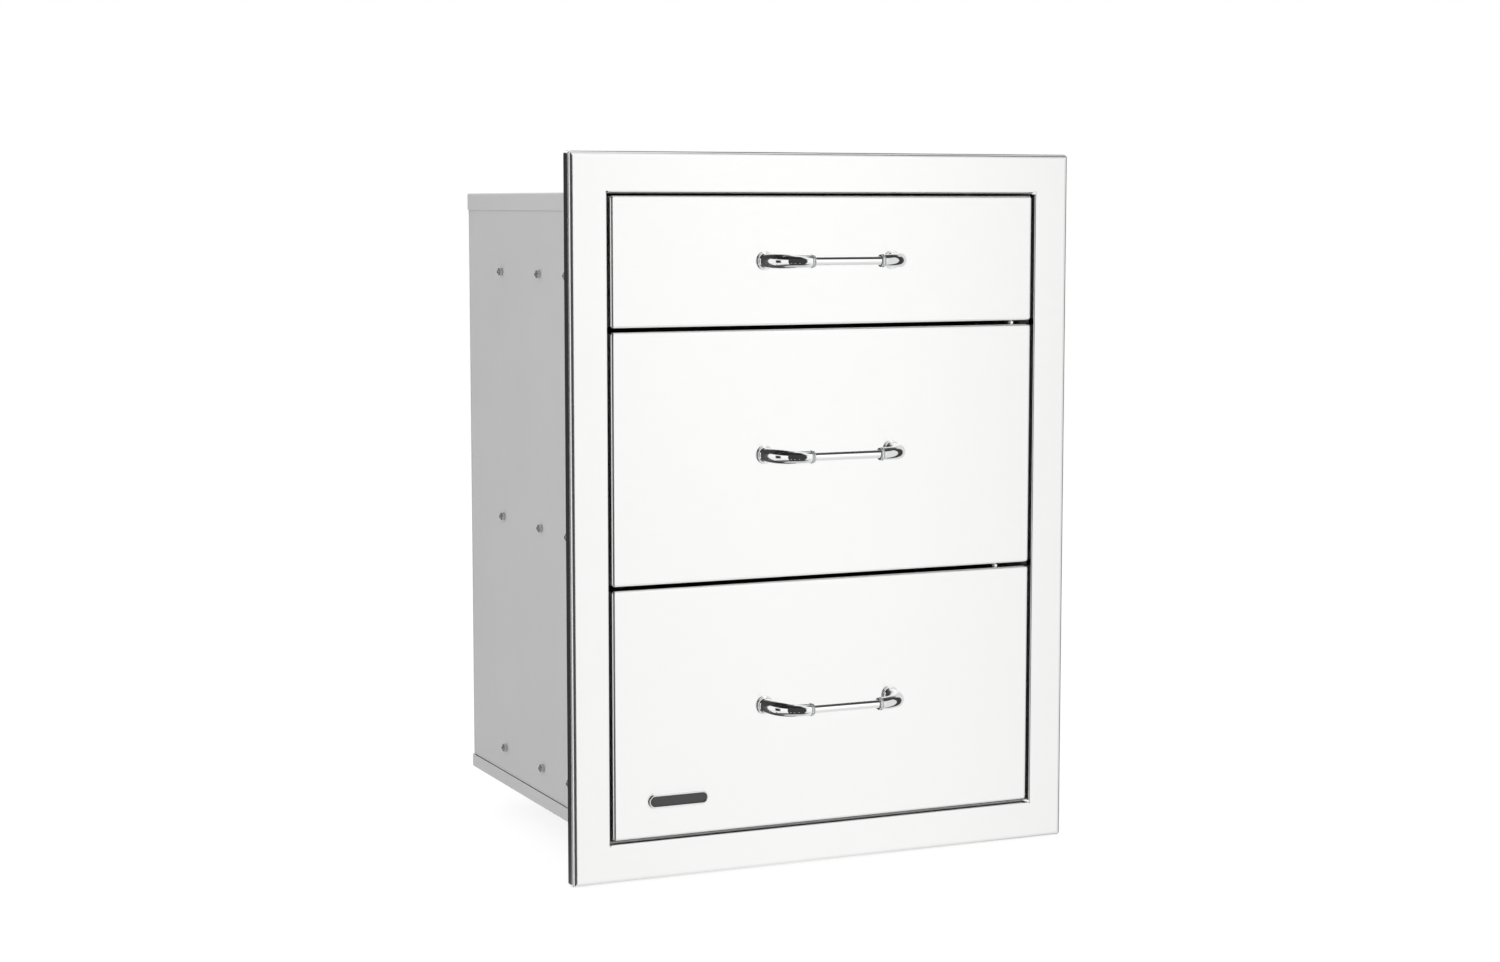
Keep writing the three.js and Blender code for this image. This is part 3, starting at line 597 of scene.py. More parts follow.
frame_width = frame_high.x - frame_low.x
frame_height = frame_high.z - frame_low.z
frame_return = frame_high.y - frame_low.y
opening_width = frame_width - 2 * BORDER
opening_height = frame_height - 2 * BORDER
face_y = frame_low.y
print("opening", round(opening_width, 4), "by", round(opening_height, 4), "m")


# %% Frame
def frame_rings():
    ring = inset_ring(frame_width, frame_height, FRAME_CORNER)
    inside = frame_return - SHEET
    lip_end = frame_return - LIP
    rings = [ring(0.0, 0.0)] + rim_fold(ring, frame_return, FRAME_FOLD, BORDER, LIP_FOLD)
    rings += [ring(BORDER, lip_end), ring(BORDER - SHEET, lip_end), ring(BORDER - SHEET, inside)]
    return rings + [ring(SHEET, inside), ring(SHEET, 0.0)]


def notches():
    shape = bmesh.new()
    for x in (-opening_width / 2, opening_width / 2):
        for z in (0.0, opening_height):
            bmesh.ops.create_cone(
                shape, cap_ends=True, segments=NOTCH_SIDES, radius1=NOTCH_RADIUS, radius2=NOTCH_RADIUS,
                depth=NOTCH_DEPTH, matrix=standing((x, face_y, z)),
            )
    return shape


face_frame = piece(
    "face_frame", loft(frame_rings(), looped=True), "polished_steel", "cabinet", "front_frame",
    turn=standing((0, 0, opening_height / 2)),
)
cut_away(face_frame, notches())
print("frame", len(face_frame.data.polygons), "faces")

# %% [markdown]
# The drawer fronts
# A front is a shallow tray of the same polished sheet, open at the back, where the liner closes it.
# The three differ only in height, so one function makes them all, from the box that the packed
# model gives for each.

# %% Fronts
FRONT_FOLD = 3.0 * MM
FRONT_CORNER = 3.5 * MM
DRAWERS = ("top", "middle", "bottom")
BOTH_SIDES = (("left", -1), ("right", 1))
DRAWER_SIDES = [(drawer, side, sign) for drawer in DRAWERS for side, sign in BOTH_SIDES]
FRONTS = {drawer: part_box(f"front_skin_{drawer}") for drawer in DRAWERS}


def front_middle(drawer):
    low, high = FRONTS[drawer]
    return (low.z + high.z) / 2


def front_skin(drawer):
    low, high = FRONTS[drawer]
    depth = high.y - low.y
    ring = inset_ring(high.x - low.x, high.z - low.z, FRONT_CORNER)
    rings = tray_fold(ring, FRONT_FOLD)
    rings += [ring(0.0, depth), ring(SHEET, depth), ring(SHEET, SHEET)]
    piece(
        f"drawer_front_{drawer}", loft(rings), "polished_steel", f"drawer_{drawer}",
        f"front_skin_{drawer}", turn=standing((0.0, low.y, front_middle(drawer)), -math.pi / 2),
    )


for drawer_name in DRAWERS:
    front_skin(drawer_name)
print("fronts", len(DRAWERS))

# %% [markdown]
# Node trees that repeat a part or follow a path
# Two small geometry trees do the repeating work. The first sets one fastener on every point of a
# mesh, turned to face the way the point says and spun by a chance amount, as a fitter leaves it.
# The second sweeps a round section along a line whose points carry their own radius. Both end as
# plain mesh, because a finished piece must not depend on a live modifier.


# %% How a tree ends, and how it is run
def end_tree(tree, geometry, finish):
    real = add(tree, "GeometryNodeRealizeInstances", {"Geometry": geometry}).outputs["Geometry"]
    inputs = {"Geometry": real, "Material": finish}
    done = add(tree, "GeometryNodeSetMaterial", inputs).outputs["Geometry"]
    add(tree, "NodeGroupOutput", {"Geometry": done})
    return tree


def run_tree(made, tree, values):
    modifier = made.modifiers.new(tree.name, "NODES")
    modifier.node_group = tree
    for item in tree.interface.items_tree:
        if item.item_type == "SOCKET" and item.in_out == "INPUT" and item.name in values:
            modifier[item.identifier] = values[item.name]
    bake(made)


# %% Tree that sets fasteners
def fastener_tree():
    sockets = {"Geometry": "Geometry", "Fastener": "Object", "Size": "Float"}
    sockets.update({"Spin Seed": "Int", "Finish": "Material"})
    tree, into = node_group("set_fasteners", "GeometryNodeTree", sockets, {"Geometry": "Geometry"})
    shape = add(tree, "GeometryNodeObjectInfo", {"Object": into["Fastener"]}, transform_space="ORIGINAL")
    facing = add(tree, "GeometryNodeInputNamedAttribute", {"Name": "facing"}, data_type="FLOAT_VECTOR")
    way = {"Vector": facing.outputs["Attribute"]}
    turn = add(tree, "FunctionNodeAlignRotationToVector", way, axis="Z")
    chance = {3: math.pi * 2, "Seed": into["Spin Seed"]}
    angle = add(tree, "FunctionNodeRandomValue", chance, data_type="FLOAT").outputs[1]
    spin = add(tree, "FunctionNodeAxisAngleToRotation", {"Axis": (0, 0, 1), "Angle": angle})
    turns = {"Rotation": turn.outputs["Rotation"], "Rotate By": spin.outputs["Rotation"]}
    both = add(tree, "FunctionNodeRotateRotation", turns, rotation_space="LOCAL")
    place = add(tree, "GeometryNodeInstanceOnPoints", {
        "Points": into["Geometry"],
        "Instance": shape.outputs["Geometry"],
        "Rotation": both.outputs["Rotation"],
        "Scale": into["Size"],
    })
    return end_tree(tree, place.outputs["Instances"], into["Finish"])


# %% Tree that sweeps a round section
def sweep_tree():
    sockets = {"Geometry": "Geometry", "Sides": "Int", "Finish": "Material"}
    tree, into = node_group("sweep_round", "GeometryNodeTree", sockets, {"Geometry": "Geometry"})
    line = add(tree, "GeometryNodeMeshToCurve", {"Mesh": into["Geometry"]})
    radius = add(tree, "GeometryNodeInputNamedAttribute", {"Name": "radius_here"}, data_type="FLOAT")
    section = add(tree, "GeometryNodeCurvePrimitiveCircle", {"Radius": 1.0, "Resolution": into["Sides"]})
    swept = add(tree, "GeometryNodeCurveToMesh", {
        "Curve": line.outputs["Curve"],
        "Scale": radius.outputs["Attribute"],
        "Profile Curve": section.outputs["Curve"],
        "Fill Caps": True,
    })
    return end_tree(tree, swept.outputs["Mesh"], into["Finish"])


SET_FASTENERS = fastener_tree()
SWEEP_ROUND = sweep_tree()
print("tree nodes", len(SET_FASTENERS.nodes), "and", len(SWEEP_ROUND.nodes))

# %% Using the two trees
RING_SIDES = 48
FULL_SIZE = 1.0


def point_object(name, places, attribute, kind, values, joined):
    """An object of bare points that carry a value each, joined into a line or not."""
    mesh = bpy.data.meshes.new(name)
    edges = [(i, i + 1) for i in range(len(places) - 1)] if joined else []
    mesh.from_pydata(places, edges, [])
    layer = mesh.attributes.new(attribute, kind, "POINT")
    for item, value in zip(layer.data, values):
        setattr(item, "value" if kind == "FLOAT" else "vector", value)
    return add_object(name, mesh)


def sweep(name, places, radii, body, replaces):
    made = point_object(name, places, "radius_here", "FLOAT", radii, joined=True)
    made.visible_glossy = False
    run_tree(made, SWEEP_ROUND, {"Sides": RING_SIDES, "Finish": METALS["chrome"]})
    shape = bmesh.new()
    shape.from_mesh(made.data)
    merge_doubles(shape)
    face_outwards(shape)
    into_mesh(shape, made.data)
    dress(made, body, "chrome", replaces)


def fasten(name, shape, spots, metal_name, body, slot, seed=1):
    """Sets the shape on spots, each a place and the way it faces."""
    places, ways = zip(*spots)
    made = point_object(name, places, "facing", "FLOAT_VECTOR", ways, joined=False)
    values = {"Fastener": shape, "Size": FULL_SIZE, "Spin Seed": seed, "Finish": METALS[metal_name]}
    run_tree(made, SET_FASTENERS, values)
    dress(made, body, slot)


# %% [markdown]
# The handles
# Each handle is a plain bar held between two cast elbows. An elbow stands on a foot with turned
# rings, swells as it bends, narrows to a neck and ends in a collar of two beads. All of that is one
# outline swept along one curve: a list of distances and radii, read at many small steps. The rings
# and beads are half round, so they are worked out and not listed. Mirror rays pass the handles by,
# because the fronts would otherwise show a soft grey image of each one.

# %% Handle sizes
HANDLE_SPAN = 140.0 * MM
HANDLE_STANDOFF = 42.0 * MM
BAR_LENGTH = 71.0 * MM
BAR_RADIUS = 4.1 * MM
BAR_SOCKET = 5.0 * MM
FOOT_GAP = 0.2 * MM
LEAVE_SHARE = 0.62
ARRIVE_SHARE = 0.74
PATH_SAMPLES = 400
BEAD_STEPS = 8
BODY_STEPS = 5

# elbow between foot and collar: share of the path's length, and radius
BODY_OUTLINE = [
    (0.085, 6.9 * MM), (0.13, 7.0 * MM), (0.22, 7.15 * MM), (0.34, 7.3 * MM), (0.46, 7.3 * MM),
    (0.58, 7.1 * MM), (0.7, 6.7 * MM), (0.82, 6.4 * MM), (0.91, 6.15 * MM), (0.935, 6.1 * MM),
]
# ring or bead: distance along from one end, half length, and radius at the top
FOOT_RINGS = [
    (0.9 * MM, 0.9 * MM, 9.4 * MM), (2.6 * MM, 0.7 * MM, 8.7 * MM), (3.9 * MM, 0.5 * MM, 7.9 * MM),
]
COLLAR_BEADS = [(3.2 * MM, 0.8 * MM, 6.65 * MM), (1.3 * MM, 1.0 * MM, 6.3 * MM)]
FOOT_GROOVE = 0.5 * MM
COLLAR_GROOVE = 1.0 * MM
BEAD_FULLNESS = 0.6


# %% Elbow path
def bezier(points, t):
    a, b, c, d = points
    u = 1 - t
    return a * u**3 + b * 3 * u * u * t + c * 3 * u * t * t + d * t**3


class Path:
    """A curve that can be read by the distance along it."""

    def __init__(self, points):
        self.places = [bezier(points, i / PATH_SAMPLES) for i in range(PATH_SAMPLES + 1)]
        self.run = [0.0]
        for before, after in zip(self.places, self.places[1:]):
            self.run.append(self.run[-1] + (after - before).length)
        self.length = self.run[-1]

    def at(self, distance):
        distance = min(max(distance, 0.0), self.length)
        i = 1
        while i < PATH_SAMPLES and self.run[i] < distance:
            i += 1
        share = (distance - self.run[i - 1]) / (self.run[i] - self.run[i - 1])
        return self.places[i - 1].lerp(self.places[i], share)


# %% Elbow outline
def bead_profile(middle, half, top, root):
    """A half-round bead: distances and radii over it, from groove to groove."""
    profile = []
    for step in range(BEAD_STEPS + 1):
        angle = math.pi * step / BEAD_STEPS
        rise = math.sin(angle) ** BEAD_FULLNESS if 0 < step < BEAD_STEPS else 0.0
        profile.append((middle - half * math.cos(angle), root + (top - root) * rise))
    return profile


def smooth_profile(points, steps):
    """Reads an outline smoothly between its listed points."""
    profile = []
    for i in range(len(points) - 1):
        before = points[max(i - 1, 0)]
        start, end = points[i], points[i + 1]
        after = points[min(i + 2, len(points) - 1)]
        run = end[0] - start[0]
        slope_in = (end[1] - before[1]) / (end[0] - before[0]) * run
        slope_out = (after[1] - start[1]) / (after[0] - start[0]) * run
        for step in range(steps):
            t = step / steps
            radius = (
                start[1] * (2 * t**3 - 3 * t**2 + 1)
                + slope_in * (t**3 - 2 * t**2 + t)
                + end[1] * (3 * t**2 - 2 * t**3)
                + slope_out * (t**3 - t**2)
            )
            profile.append((start[0] + run * t, radius))
    return profile + [points[-1]]


def elbow_profile(length):
    profile = [(0.0, FOOT_RINGS[0][2] - FOOT_GROOVE)]
    for middle, half, top in FOOT_RINGS:
        profile += bead_profile(middle, half, top, top - FOOT_GROOVE)
    profile += smooth_profile([(share * length, radius) for share, radius in BODY_OUTLINE], BODY_STEPS)
    for back, half, top in COLLAR_BEADS:
        profile += bead_profile(length - back, half, top, top - COLLAR_GROOVE)
    spread = []
    for distance, radius in profile:
        if spread and distance - spread[-1][0] < MERGE:
            distance = spread[-1][0] + 2 * MERGE
        spread.append((distance, radius))
    return spread


# %% Elbows and bars
def elbow(drawer, side, sign, front_y, level):
    foot_x = sign * HANDLE_SPAN / 2
    collar_x = sign * BAR_LENGTH / 2
    bar_y = front_y - HANDLE_STANDOFF
    path = Path([
        Vector((foot_x, front_y - FOOT_GAP, level)),
        Vector((foot_x, front_y - HANDLE_STANDOFF * LEAVE_SHARE, level)),
        Vector((collar_x + (foot_x - collar_x) * ARRIVE_SHARE, bar_y, level)),
        Vector((collar_x, bar_y, level)),
    ])
    distances, radii = zip(*elbow_profile(path.length))
    places = [path.at(distance) for distance in distances]
    name = f"{drawer}_{side}"
    sweep(f"handle_elbow_{name}", places, radii, f"drawer_{drawer}", f"handle_post_{name}")


def bar(drawer, front_y, level):
    half = BAR_LENGTH / 2 + BAR_SOCKET - FOOT_GAP
    places = [Vector((x, front_y - HANDLE_STANDOFF, level)) for x in (-half, 0.0, half)]
    radii = [BAR_RADIUS] * len(places)
    sweep(f"handle_rod_{drawer}", places, radii, f"drawer_{drawer}", f"handle_bar_{drawer}")


for drawer_name in DRAWERS:
    handle_y = FRONTS[drawer_name][0].y
    bar(drawer_name, handle_y, front_middle(drawer_name))
    for side_name, side_sign in BOTH_SIDES:
        elbow(drawer_name, side_name, side_sign, handle_y, front_middle(drawer_name))
print("handles on", len(DRAWERS), "drawers")

# %% [markdown]
# Folded strips
# The channels of a ball-bearing slide are roll-formed strips: a flat web and two flanges that curl
# round a row of balls. A strip's section is drawn as a line along one face with a radius at each
# bend, the same line is set off sideways by the sheet, and the closed outline is run from one end
# of the strip to the other.

# %% Strip sections
BEND_STEPS = 6


def fold_line(corners):
    line = []
    for place, (x, z, radius) in enumerate(corners):
        here = Vector((x, z))
        if not radius:
            line.append(here)
            continue
        before = (Vector(corners[place - 1][:2]) - here).normalized()
        after = (Vector(corners[place + 1][:2]) - here).normalized()
        half = math.acos(before.dot(after)) / 2
        centre = here + (before + after).normalized() * (radius / math.sin(half))
        start = here + before * (radius / math.tan(half)) - centre
        cross = before.x * after.y - before.y * after.x
        turn = math.copysign(math.pi - 2 * half, -cross)
        for step in range(BEND_STEPS + 1):
            angle = turn * step / BEND_STEPS
            spoke = Vector((
                start.x * math.cos(angle) - start.y * math.sin(angle),
                start.x * math.sin(angle) + start.y * math.cos(angle),
            ))
            line.append(centre + spoke)
    return line


def beside_line(line, distance):
    moved = []
    for place, point in enumerate(line):
        into = (point - line[place - 1]).normalized() if place else None
        out = (line[place + 1] - point).normalized() if place < len(line) - 1 else None
        first = into or out
        along = (first + (out or into)).normalized()
        across = Vector((-along.y, along.x))
        square = Vector((-first.y, first.x))
        moved.append(point + across * (distance / across.dot(square)))
    return moved


def strip(corners, sheet, ends, in_space):
    """Runs a section between two ends. in_space places a point of it at an end."""
    face = fold_line(corners)
    outline = face + list(reversed(beside_line(face, sheet)))
    return loft([[in_space(point.x, point.y, end) for point in outline] for end in ends])


def slide_strip(corners, sheet, origin, length):
    """A section seen from the front, run back from its origin."""
    return strip(corners, sheet, (0.0, length), lambda x, z, y: origin + Vector((x, y, z)))


# %% [markdown]
# The slides
# Each slide is three channels nested one in the next, with a cage of balls in each of the two
# spaces. They are hidden at rest and carry the drawer when it is out, when the centre channel shows
# its web and the inner one its open side. Each is set out inwards from the one outside it, as in
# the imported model. The webs have the round and long holes that the presses leave in them.

# %% Slide sizes
SLIDE_LENGTH = 350.0 * MM
SLIDE_WIDTH = 12.5 * MM
SLIDE_CORNER = 1.8 * MM
SLIDE_CURL = 3.0 * MM
SLIDE_FACE_X = 236.15 * MM
SLIDE_START_Y = 8.5 * MM
SLIDE_RISE = {"top": 48.0 * MM, "middle": 38.25 * MM, "bottom": 38.25 * MM}
# channel: web's face, flange's face, half height, curl, half height of the open side
CHANNELS = {
    "outer": (0.0 * MM, 11.0 * MM, 22.5 * MM, SLIDE_CURL, 18.1 * MM),
    "centre": (2.4 * MM, 9.6 * MM, 16.9 * MM, SLIDE_CURL, 12.7 * MM),
    "inner": (12.5 * MM, 4.8 * MM, 11.7 * MM, SLIDE_CORNER, 9.7 * MM),
}
# hole, in mm: distance along the web and half length of the slot, both ends round
HOLES = {
    "outer": [(36, 0), (60, 6), (128, 0), (212, 6), (252, 0), (318, 6)],
    "centre": [(18, 0), (44, 8), (118, 0), (232, 0), (306, 8), (332, 0)],
    "inner": [(22, 0), (70, 7), (150, 0), (200, 7), (262, 0), (330, 0)],
}
HOLE_RADIUS = 2.6 * MM
HOLE_SIDES = 24
HALF_STEP = 0.5
BODIES = {"outer": "cabinet", "centre": "slide_centres_{}", "inner": "drawer_{}"}


# %% Slots and channels
def slots(holes, origin, sign):
    shape = bmesh.new()
    for along, half in holes:
        ring = []
        for cos, sin in round_steps(HOLE_SIDES, HALF_STEP):
            y = along * MM + math.copysign(half * MM, cos) + HOLE_RADIUS * cos
            ring.append((y, HOLE_RADIUS * sin))
        ends = (-SLIDE_WIDTH, 2 * SLIDE_WIDTH)
        loft([[origin + Vector((-sign * end, y, z)) for y, z in ring] for end in ends], shape=shape)
    return shape


def channel(kind, drawer, side, sign, level):
    start, end, half, curl, open_half = CHANNELS[kind]
    origin = Vector((sign * SLIDE_FACE_X, SLIDE_START_Y, level))
    corners = [
        (-sign * end, open_half, 0),
        (-sign * end, half, curl),
        (-sign * start, half, SLIDE_CORNER),
        (-sign * start, -half, SLIDE_CORNER),
        (-sign * end, -half, curl),
        (-sign * end, -open_half, 0),
    ]
    sheet = -SHEET * sign * math.copysign(1, end - start)
    shape = slide_strip(corners, sheet, origin, SLIDE_LENGTH)
    name = f"{kind}_{drawer}_{side}"
    made = piece(f"channel_{name}", shape, "zinc_steel", BODIES[kind].format(drawer), f"slide_{name}")
    cut_away(made, slots(HOLES[kind], origin, sign))


def slide_level(drawer):
    return FRONTS[drawer][0].z + SLIDE_RISE[drawer]


for drawer_name, side_name, side_sign in DRAWER_SIDES:
    for kind_name in CHANNELS:
        channel(kind_name, drawer_name, side_name, side_sign, slide_level(drawer_name))
print("channels", len(DRAWER_SIDES) * len(CHANNELS))

# %% [markdown]
# The ball cages
# A cage is a thin strip with a hole for each ball, so that the balls keep their distance and roll
# between the races. The strip is folded as the channels are, and the balls are set by the fastener
# tree, with a ball in place of a screw.

# %% Cages
CAGE_SHEET = 0.6 * MM
CAGE_FOLD = 0.9 * MM
CAGE_START_Y = 100.0 * MM
CAGE_LENGTH = 150.0 * MM
CAGE_END_ROOM = 9.0 * MM
BALLS_IN_ROW = 12
BALL_ROWS = (-1, 1)
BALL_RINGS = 10
# cage: where its web starts, ball's place across and up, ball's radius
CAGES = {
    "outer": (1.5 * MM, 7.6 * MM, 19.1 * MM, 2.0 * MM),
    "inner": (3.9 * MM, 6.4 * MM, 13.7 * MM, 1.8 * MM),
}


def shape_aside(name, shape):
    """A shape kept out of the scene, for the fastener tree to set."""
    merge_doubles(shape)
    face_outwards(shape)
    return bpy.data.objects.new(name, into_mesh(shape, bpy.data.meshes.new(name)))


def ball(name, radius):
    shape = bmesh.new()
    bmesh.ops.create_uvsphere(shape, u_segments=2 * BALL_RINGS, v_segments=BALL_RINGS, radius=radius)
    return shape_aside(name, shape)


def cage(kind, drawer, side, sign, level, one_ball):
    start, across, up, radius = CAGES[kind]
    origin = Vector((sign * SLIDE_FACE_X, SLIDE_START_Y + CAGE_START_Y, level))
    leg_end = across + radius / 2
    leg_up = up + CAGE_SHEET / 2
    corners = [
        (-sign * leg_end, leg_up, 0),
        (-sign * start, leg_up, CAGE_FOLD),
        (-sign * start, -leg_up, CAGE_FOLD),
        (-sign * leg_end, -leg_up, 0),
    ]
    shape = slide_strip(corners, -sign * CAGE_SHEET, origin, CAGE_LENGTH)
    name = f"{kind}_{drawer}_{side}"
    body = f"{kind}_cages_{drawer}"
    piece(f"cage_{name}", shape, "cage_steel", body, f"ball_cage_{name}")
    step = (CAGE_LENGTH - 2 * CAGE_END_ROOM) / (BALLS_IN_ROW - 1)
    spots = []
    for row in BALL_ROWS:
        for number in range(BALLS_IN_ROW):
            place = origin + Vector((-sign * across, CAGE_END_ROOM + number * step, row * up))
            spots.append((place, Vector((0, 1, 0))))
    fasten(f"balls_{name}", one_ball, spots, "chrome", body, "cage_steel")


for cage_kind in CAGES:
    ball_shape = ball(f"{cage_kind}_ball", CAGES[cage_kind][3])
    for drawer_name, side_name, side_sign in DRAWER_SIDES:
        cage(cage_kind, drawer_name, side_name, side_sign, slide_level(drawer_name), ball_shape)
print("balls", len(CAGES) * len(DRAWER_SIDES) * len(BALL_ROWS) * BALLS_IN_ROW)

# %% [markdown]
# The case
# The case behind the frame is plain mill-finish sheet: two side panels, each folded out behind the
# frame's face and in at the back, a lid and a bottom pan whose skirts lap over them, and a flat back
# panel. Sheet this thin is bent with a small radius, and the skirts' cut edges are slightly broken,
# so that no edge is a perfect knife. The pan's skirt stands a little off the side panels, and the
# shade in that seam is painted as a dark line, a mask in the side panels' colour.

# %% Case sizes
CASE_SHEET = 1.0 * MM
CASE_FOLD = 1.6 * MM
PANEL_INNER_X = 236.35 * MM
PANEL_OUTER_X = 237.35 * MM
FRONT_FLANGE = 14.0 * MM
REAR_FLANGE = 15.0 * MM
EDGE_BREAK = 0.25 * MM
SEAM_RISE = 0.3 * MM

# %% Side panels
pan_low, pan_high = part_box("bottom_pan")
# Painted shade: the side panels' colour is darkened on the outer face below the top of the pan's skirt,
# where the seam lies in shadow.
painted_shade_band = (PANEL_OUTER_X, CASE_SHEET / 2, pan_low.y, pan_high.z + SEAM_RISE)
*case_look, case_own = METAL_LOOKS["case_steel"]
panel_finish = metal("case_steel_painted_shade", *case_look, **case_own, seam=painted_shade_band)

for side_name, side_sign in BOTH_SIDES:
    panel_low, panel_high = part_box(f"side_panel_{side_name}")
    rear_y = panel_high.y - CASE_SHEET
    panel_corners = [
        (side_sign * (PANEL_OUTER_X + FRONT_FLANGE), panel_low.y, 0),
        (side_sign * PANEL_INNER_X, panel_low.y, CASE_FOLD),
        (side_sign * PANEL_INNER_X, rear_y, CASE_FOLD),
        (side_sign * (PANEL_INNER_X - REAR_FLANGE), rear_y, 0),
    ]
    panel_ends = (panel_low.z, panel_high.z)
    panel = strip(panel_corners, -side_sign * CASE_SHEET, panel_ends, lambda x, y, z: Vector((x, y, z)))
    panel_name = f"side_panel_{side_name}"
    piece(f"case_side_{side_name}", panel, "case_steel", "cabinet", panel_name, finish=panel_finish)
print("side panels", round(panel_high.z - panel_low.z, 4), "m high")


# %% Lid and bottom pan
def case_tray(name, node, upside_down):
    low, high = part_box(node)
    width, skirt = high.x - low.x, high.z - low.z
    depth = high.y - low.y + 2 * CASE_FOLD
    ring = inset_ring(width, depth, CASE_FOLD)
    rings = tray_fold(ring, CASE_FOLD) + [ring(0.0, skirt - EDGE_BREAK), ring(EDGE_BREAK, skirt)]
    rings += [ring(CASE_SHEET - EDGE_BREAK, skirt), ring(CASE_SHEET, skirt - EDGE_BREAK)]
    rings += reversed(tray_fold(ring, CASE_FOLD - CASE_SHEET, CASE_SHEET))
    flip = Matrix.Rotation(math.pi if upside_down else 0.0, 4, "Y")
    level = high.z if upside_down else low.z
    turn = Matrix.Translation((0.0, high.y - depth / 2, level)) @ flip
    made = piece(name, loft(rings), "case_steel", "cabinet", node, turn=turn)
    mouth = bmesh.new()
    size = Matrix.Diagonal((2 * width, depth, 4 * skirt, 1.0))
    place = Matrix.Translation((0.0, low.y - depth / 2, level))
    bmesh.ops.create_cube(mouth, size=1.0, matrix=place @ size)
    cut_away(made, mouth)


case_tray("case_lid", "top_panel", upside_down=True)
case_tray("case_pan", "bottom_pan", upside_down=False)
print("lid and pan", round(pan_high.y - pan_low.y, 4), "m deep")

# %% Back panel
back_low, back_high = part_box("back_panel")
back_size = back_high - back_low
back_ring = inset_ring(back_size.x, back_size.z, CASE_FOLD)
back_rings = [back_ring(EDGE_BREAK, 0.0), back_ring(0.0, EDGE_BREAK)]
back_rings += [back_ring(0.0, CASE_SHEET - EDGE_BREAK), back_ring(EDGE_BREAK, CASE_SHEET)]
back_place = (0.0, back_high.y, back_low.z + back_size.z / 2)
piece("case_back", loft(back_rings), "case_steel", "cabinet", "back_panel", turn=standing(back_place))
print("back panel", round(back_size.x, 4), "by", round(back_size.z, 4), "m")

# %% [markdown]
# Drawer boxes and liners
# Each box is one deep tray of satin sheet. Its rim is hemmed: the sheet is turned over on itself, so
# that the edge a hand meets is round. The liner is a shallow tray that closes the back of the front
# and carries the studs that hold the box.

# %% Boxes and liners
BOX_SHEET = 1.0 * MM
BOX_FOLD = 2.0 * MM
BOX_CORNER = 2.5 * MM
HEM_HEIGHT = 9.0 * MM
HEM_THICKNESS = 2.6 * MM
HEM_STEPS = 8
LINER_RETURN = 8.0 * MM
LINER_GAP = 0.2 * MM


def drawer_box(drawer):
    low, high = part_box(f"drawer_box_{drawer}")
    size = high - low
    ring = inset_ring(size.x, size.y, BOX_CORNER)
    rings = tray_fold(ring, BOX_FOLD)
    half = HEM_THICKNESS / 2
    for step in range(HEM_STEPS + 1):
        angle = math.pi * step / HEM_STEPS
        rings.append(ring(half * (1 - math.cos(angle)), size.z - half + half * math.sin(angle)))
    foot = size.z - HEM_HEIGHT
    rings += [ring(HEM_THICKNESS, foot + EDGE_BREAK), ring(HEM_THICKNESS - EDGE_BREAK, foot)]
    rings.append(ring(BOX_SHEET, foot))
    rings += reversed(tray_fold(ring, BOX_FOLD - BOX_SHEET, BOX_SHEET))
    turn = Matrix.Translation((0.0, (low.y + high.y) / 2, low.z))
    body = f"drawer_{drawer}"
    piece(f"box_{drawer}", loft(rings), "drawer_steel", body, f"drawer_box_{drawer}", turn=turn)


def drawer_liner(drawer):
    low, high = FRONTS[drawer]
    inset_all = 2 * (SHEET + LINER_GAP)
    ring = inset_ring(high.x - low.x - inset_all, high.z - low.z - inset_all, BOX_CORNER)
    rings = tray_fold(ring, BOX_FOLD)
    rings += [ring(0.0, LINER_RETURN), ring(BOX_SHEET, LINER_RETURN), ring(BOX_SHEET, BOX_SHEET)]
    turn = standing((0.0, high.y, front_middle(drawer)))
    body = f"drawer_{drawer}"
    piece(f"liner_{drawer}", loft(rings), "drawer_steel", body, f"front_liner_{drawer}", turn=turn)


for drawer_name in DRAWERS:
    drawer_box(drawer_name)
    drawer_liner(drawer_name)
print("boxes and liners", 2 * len(DRAWERS))

# %% [markdown]
# Screws and nuts
# The slides are held by screws that come out through the side panels with a nut on each, and the
# drawer boxes by pan-head screws into the inner channels and by cap nuts on the liner's studs. Each
# kind is drawn once as a stack of rings and then set in its places by the fastener tree. A nut's
# top is cut by a shallow cone, which leaves the curved edge that real nuts have on each flat.

# %% Shapes of fasteners
ROUND_SIDES = 48
NUT_RADIUS = 4.4 * MM
NUT_HEIGHT = 3.4 * MM
NUT_SLOPE = math.tan(math.radians(30))
SCREW_RADIUS = 2.0 * MM
SCREW_TIP = 1.6 * MM
THREAD_PITCH = 0.7 * MM
THREAD_DEPTH = 0.32 * MM
THREAD_STEPS = 6


def circle(radius, level):
    return [Vector((radius * cos, radius * sin, level)) for cos, sin in round_steps(ROUND_SIDES)]


def hexagon(radius, level, sloped):
    """A ring along a hexagon. Where it is sloped, its corners drop as a cone cuts them."""
    flat = radius * math.cos(math.pi / 6)
    points = []
    for side in range(ROUND_SIDES):
        angle = 2 * math.pi * side / ROUND_SIDES
        off = (angle + math.pi / 6) % (math.pi / 3) - math.pi / 6
        reach = flat / math.cos(off)
        drop = (reach - flat) * NUT_SLOPE if sloped else 0.0
        points.append(Vector((reach * math.cos(angle), reach * math.sin(angle), level - drop)))
    return points


def hex_rings(radius, height):
    """The flats of a nut, up to the circle where its top begins."""
    flat = radius * math.cos(math.pi / 6)
    return [hexagon(radius, 0.0, False), hexagon(radius, height, True), circle(flat, height)]


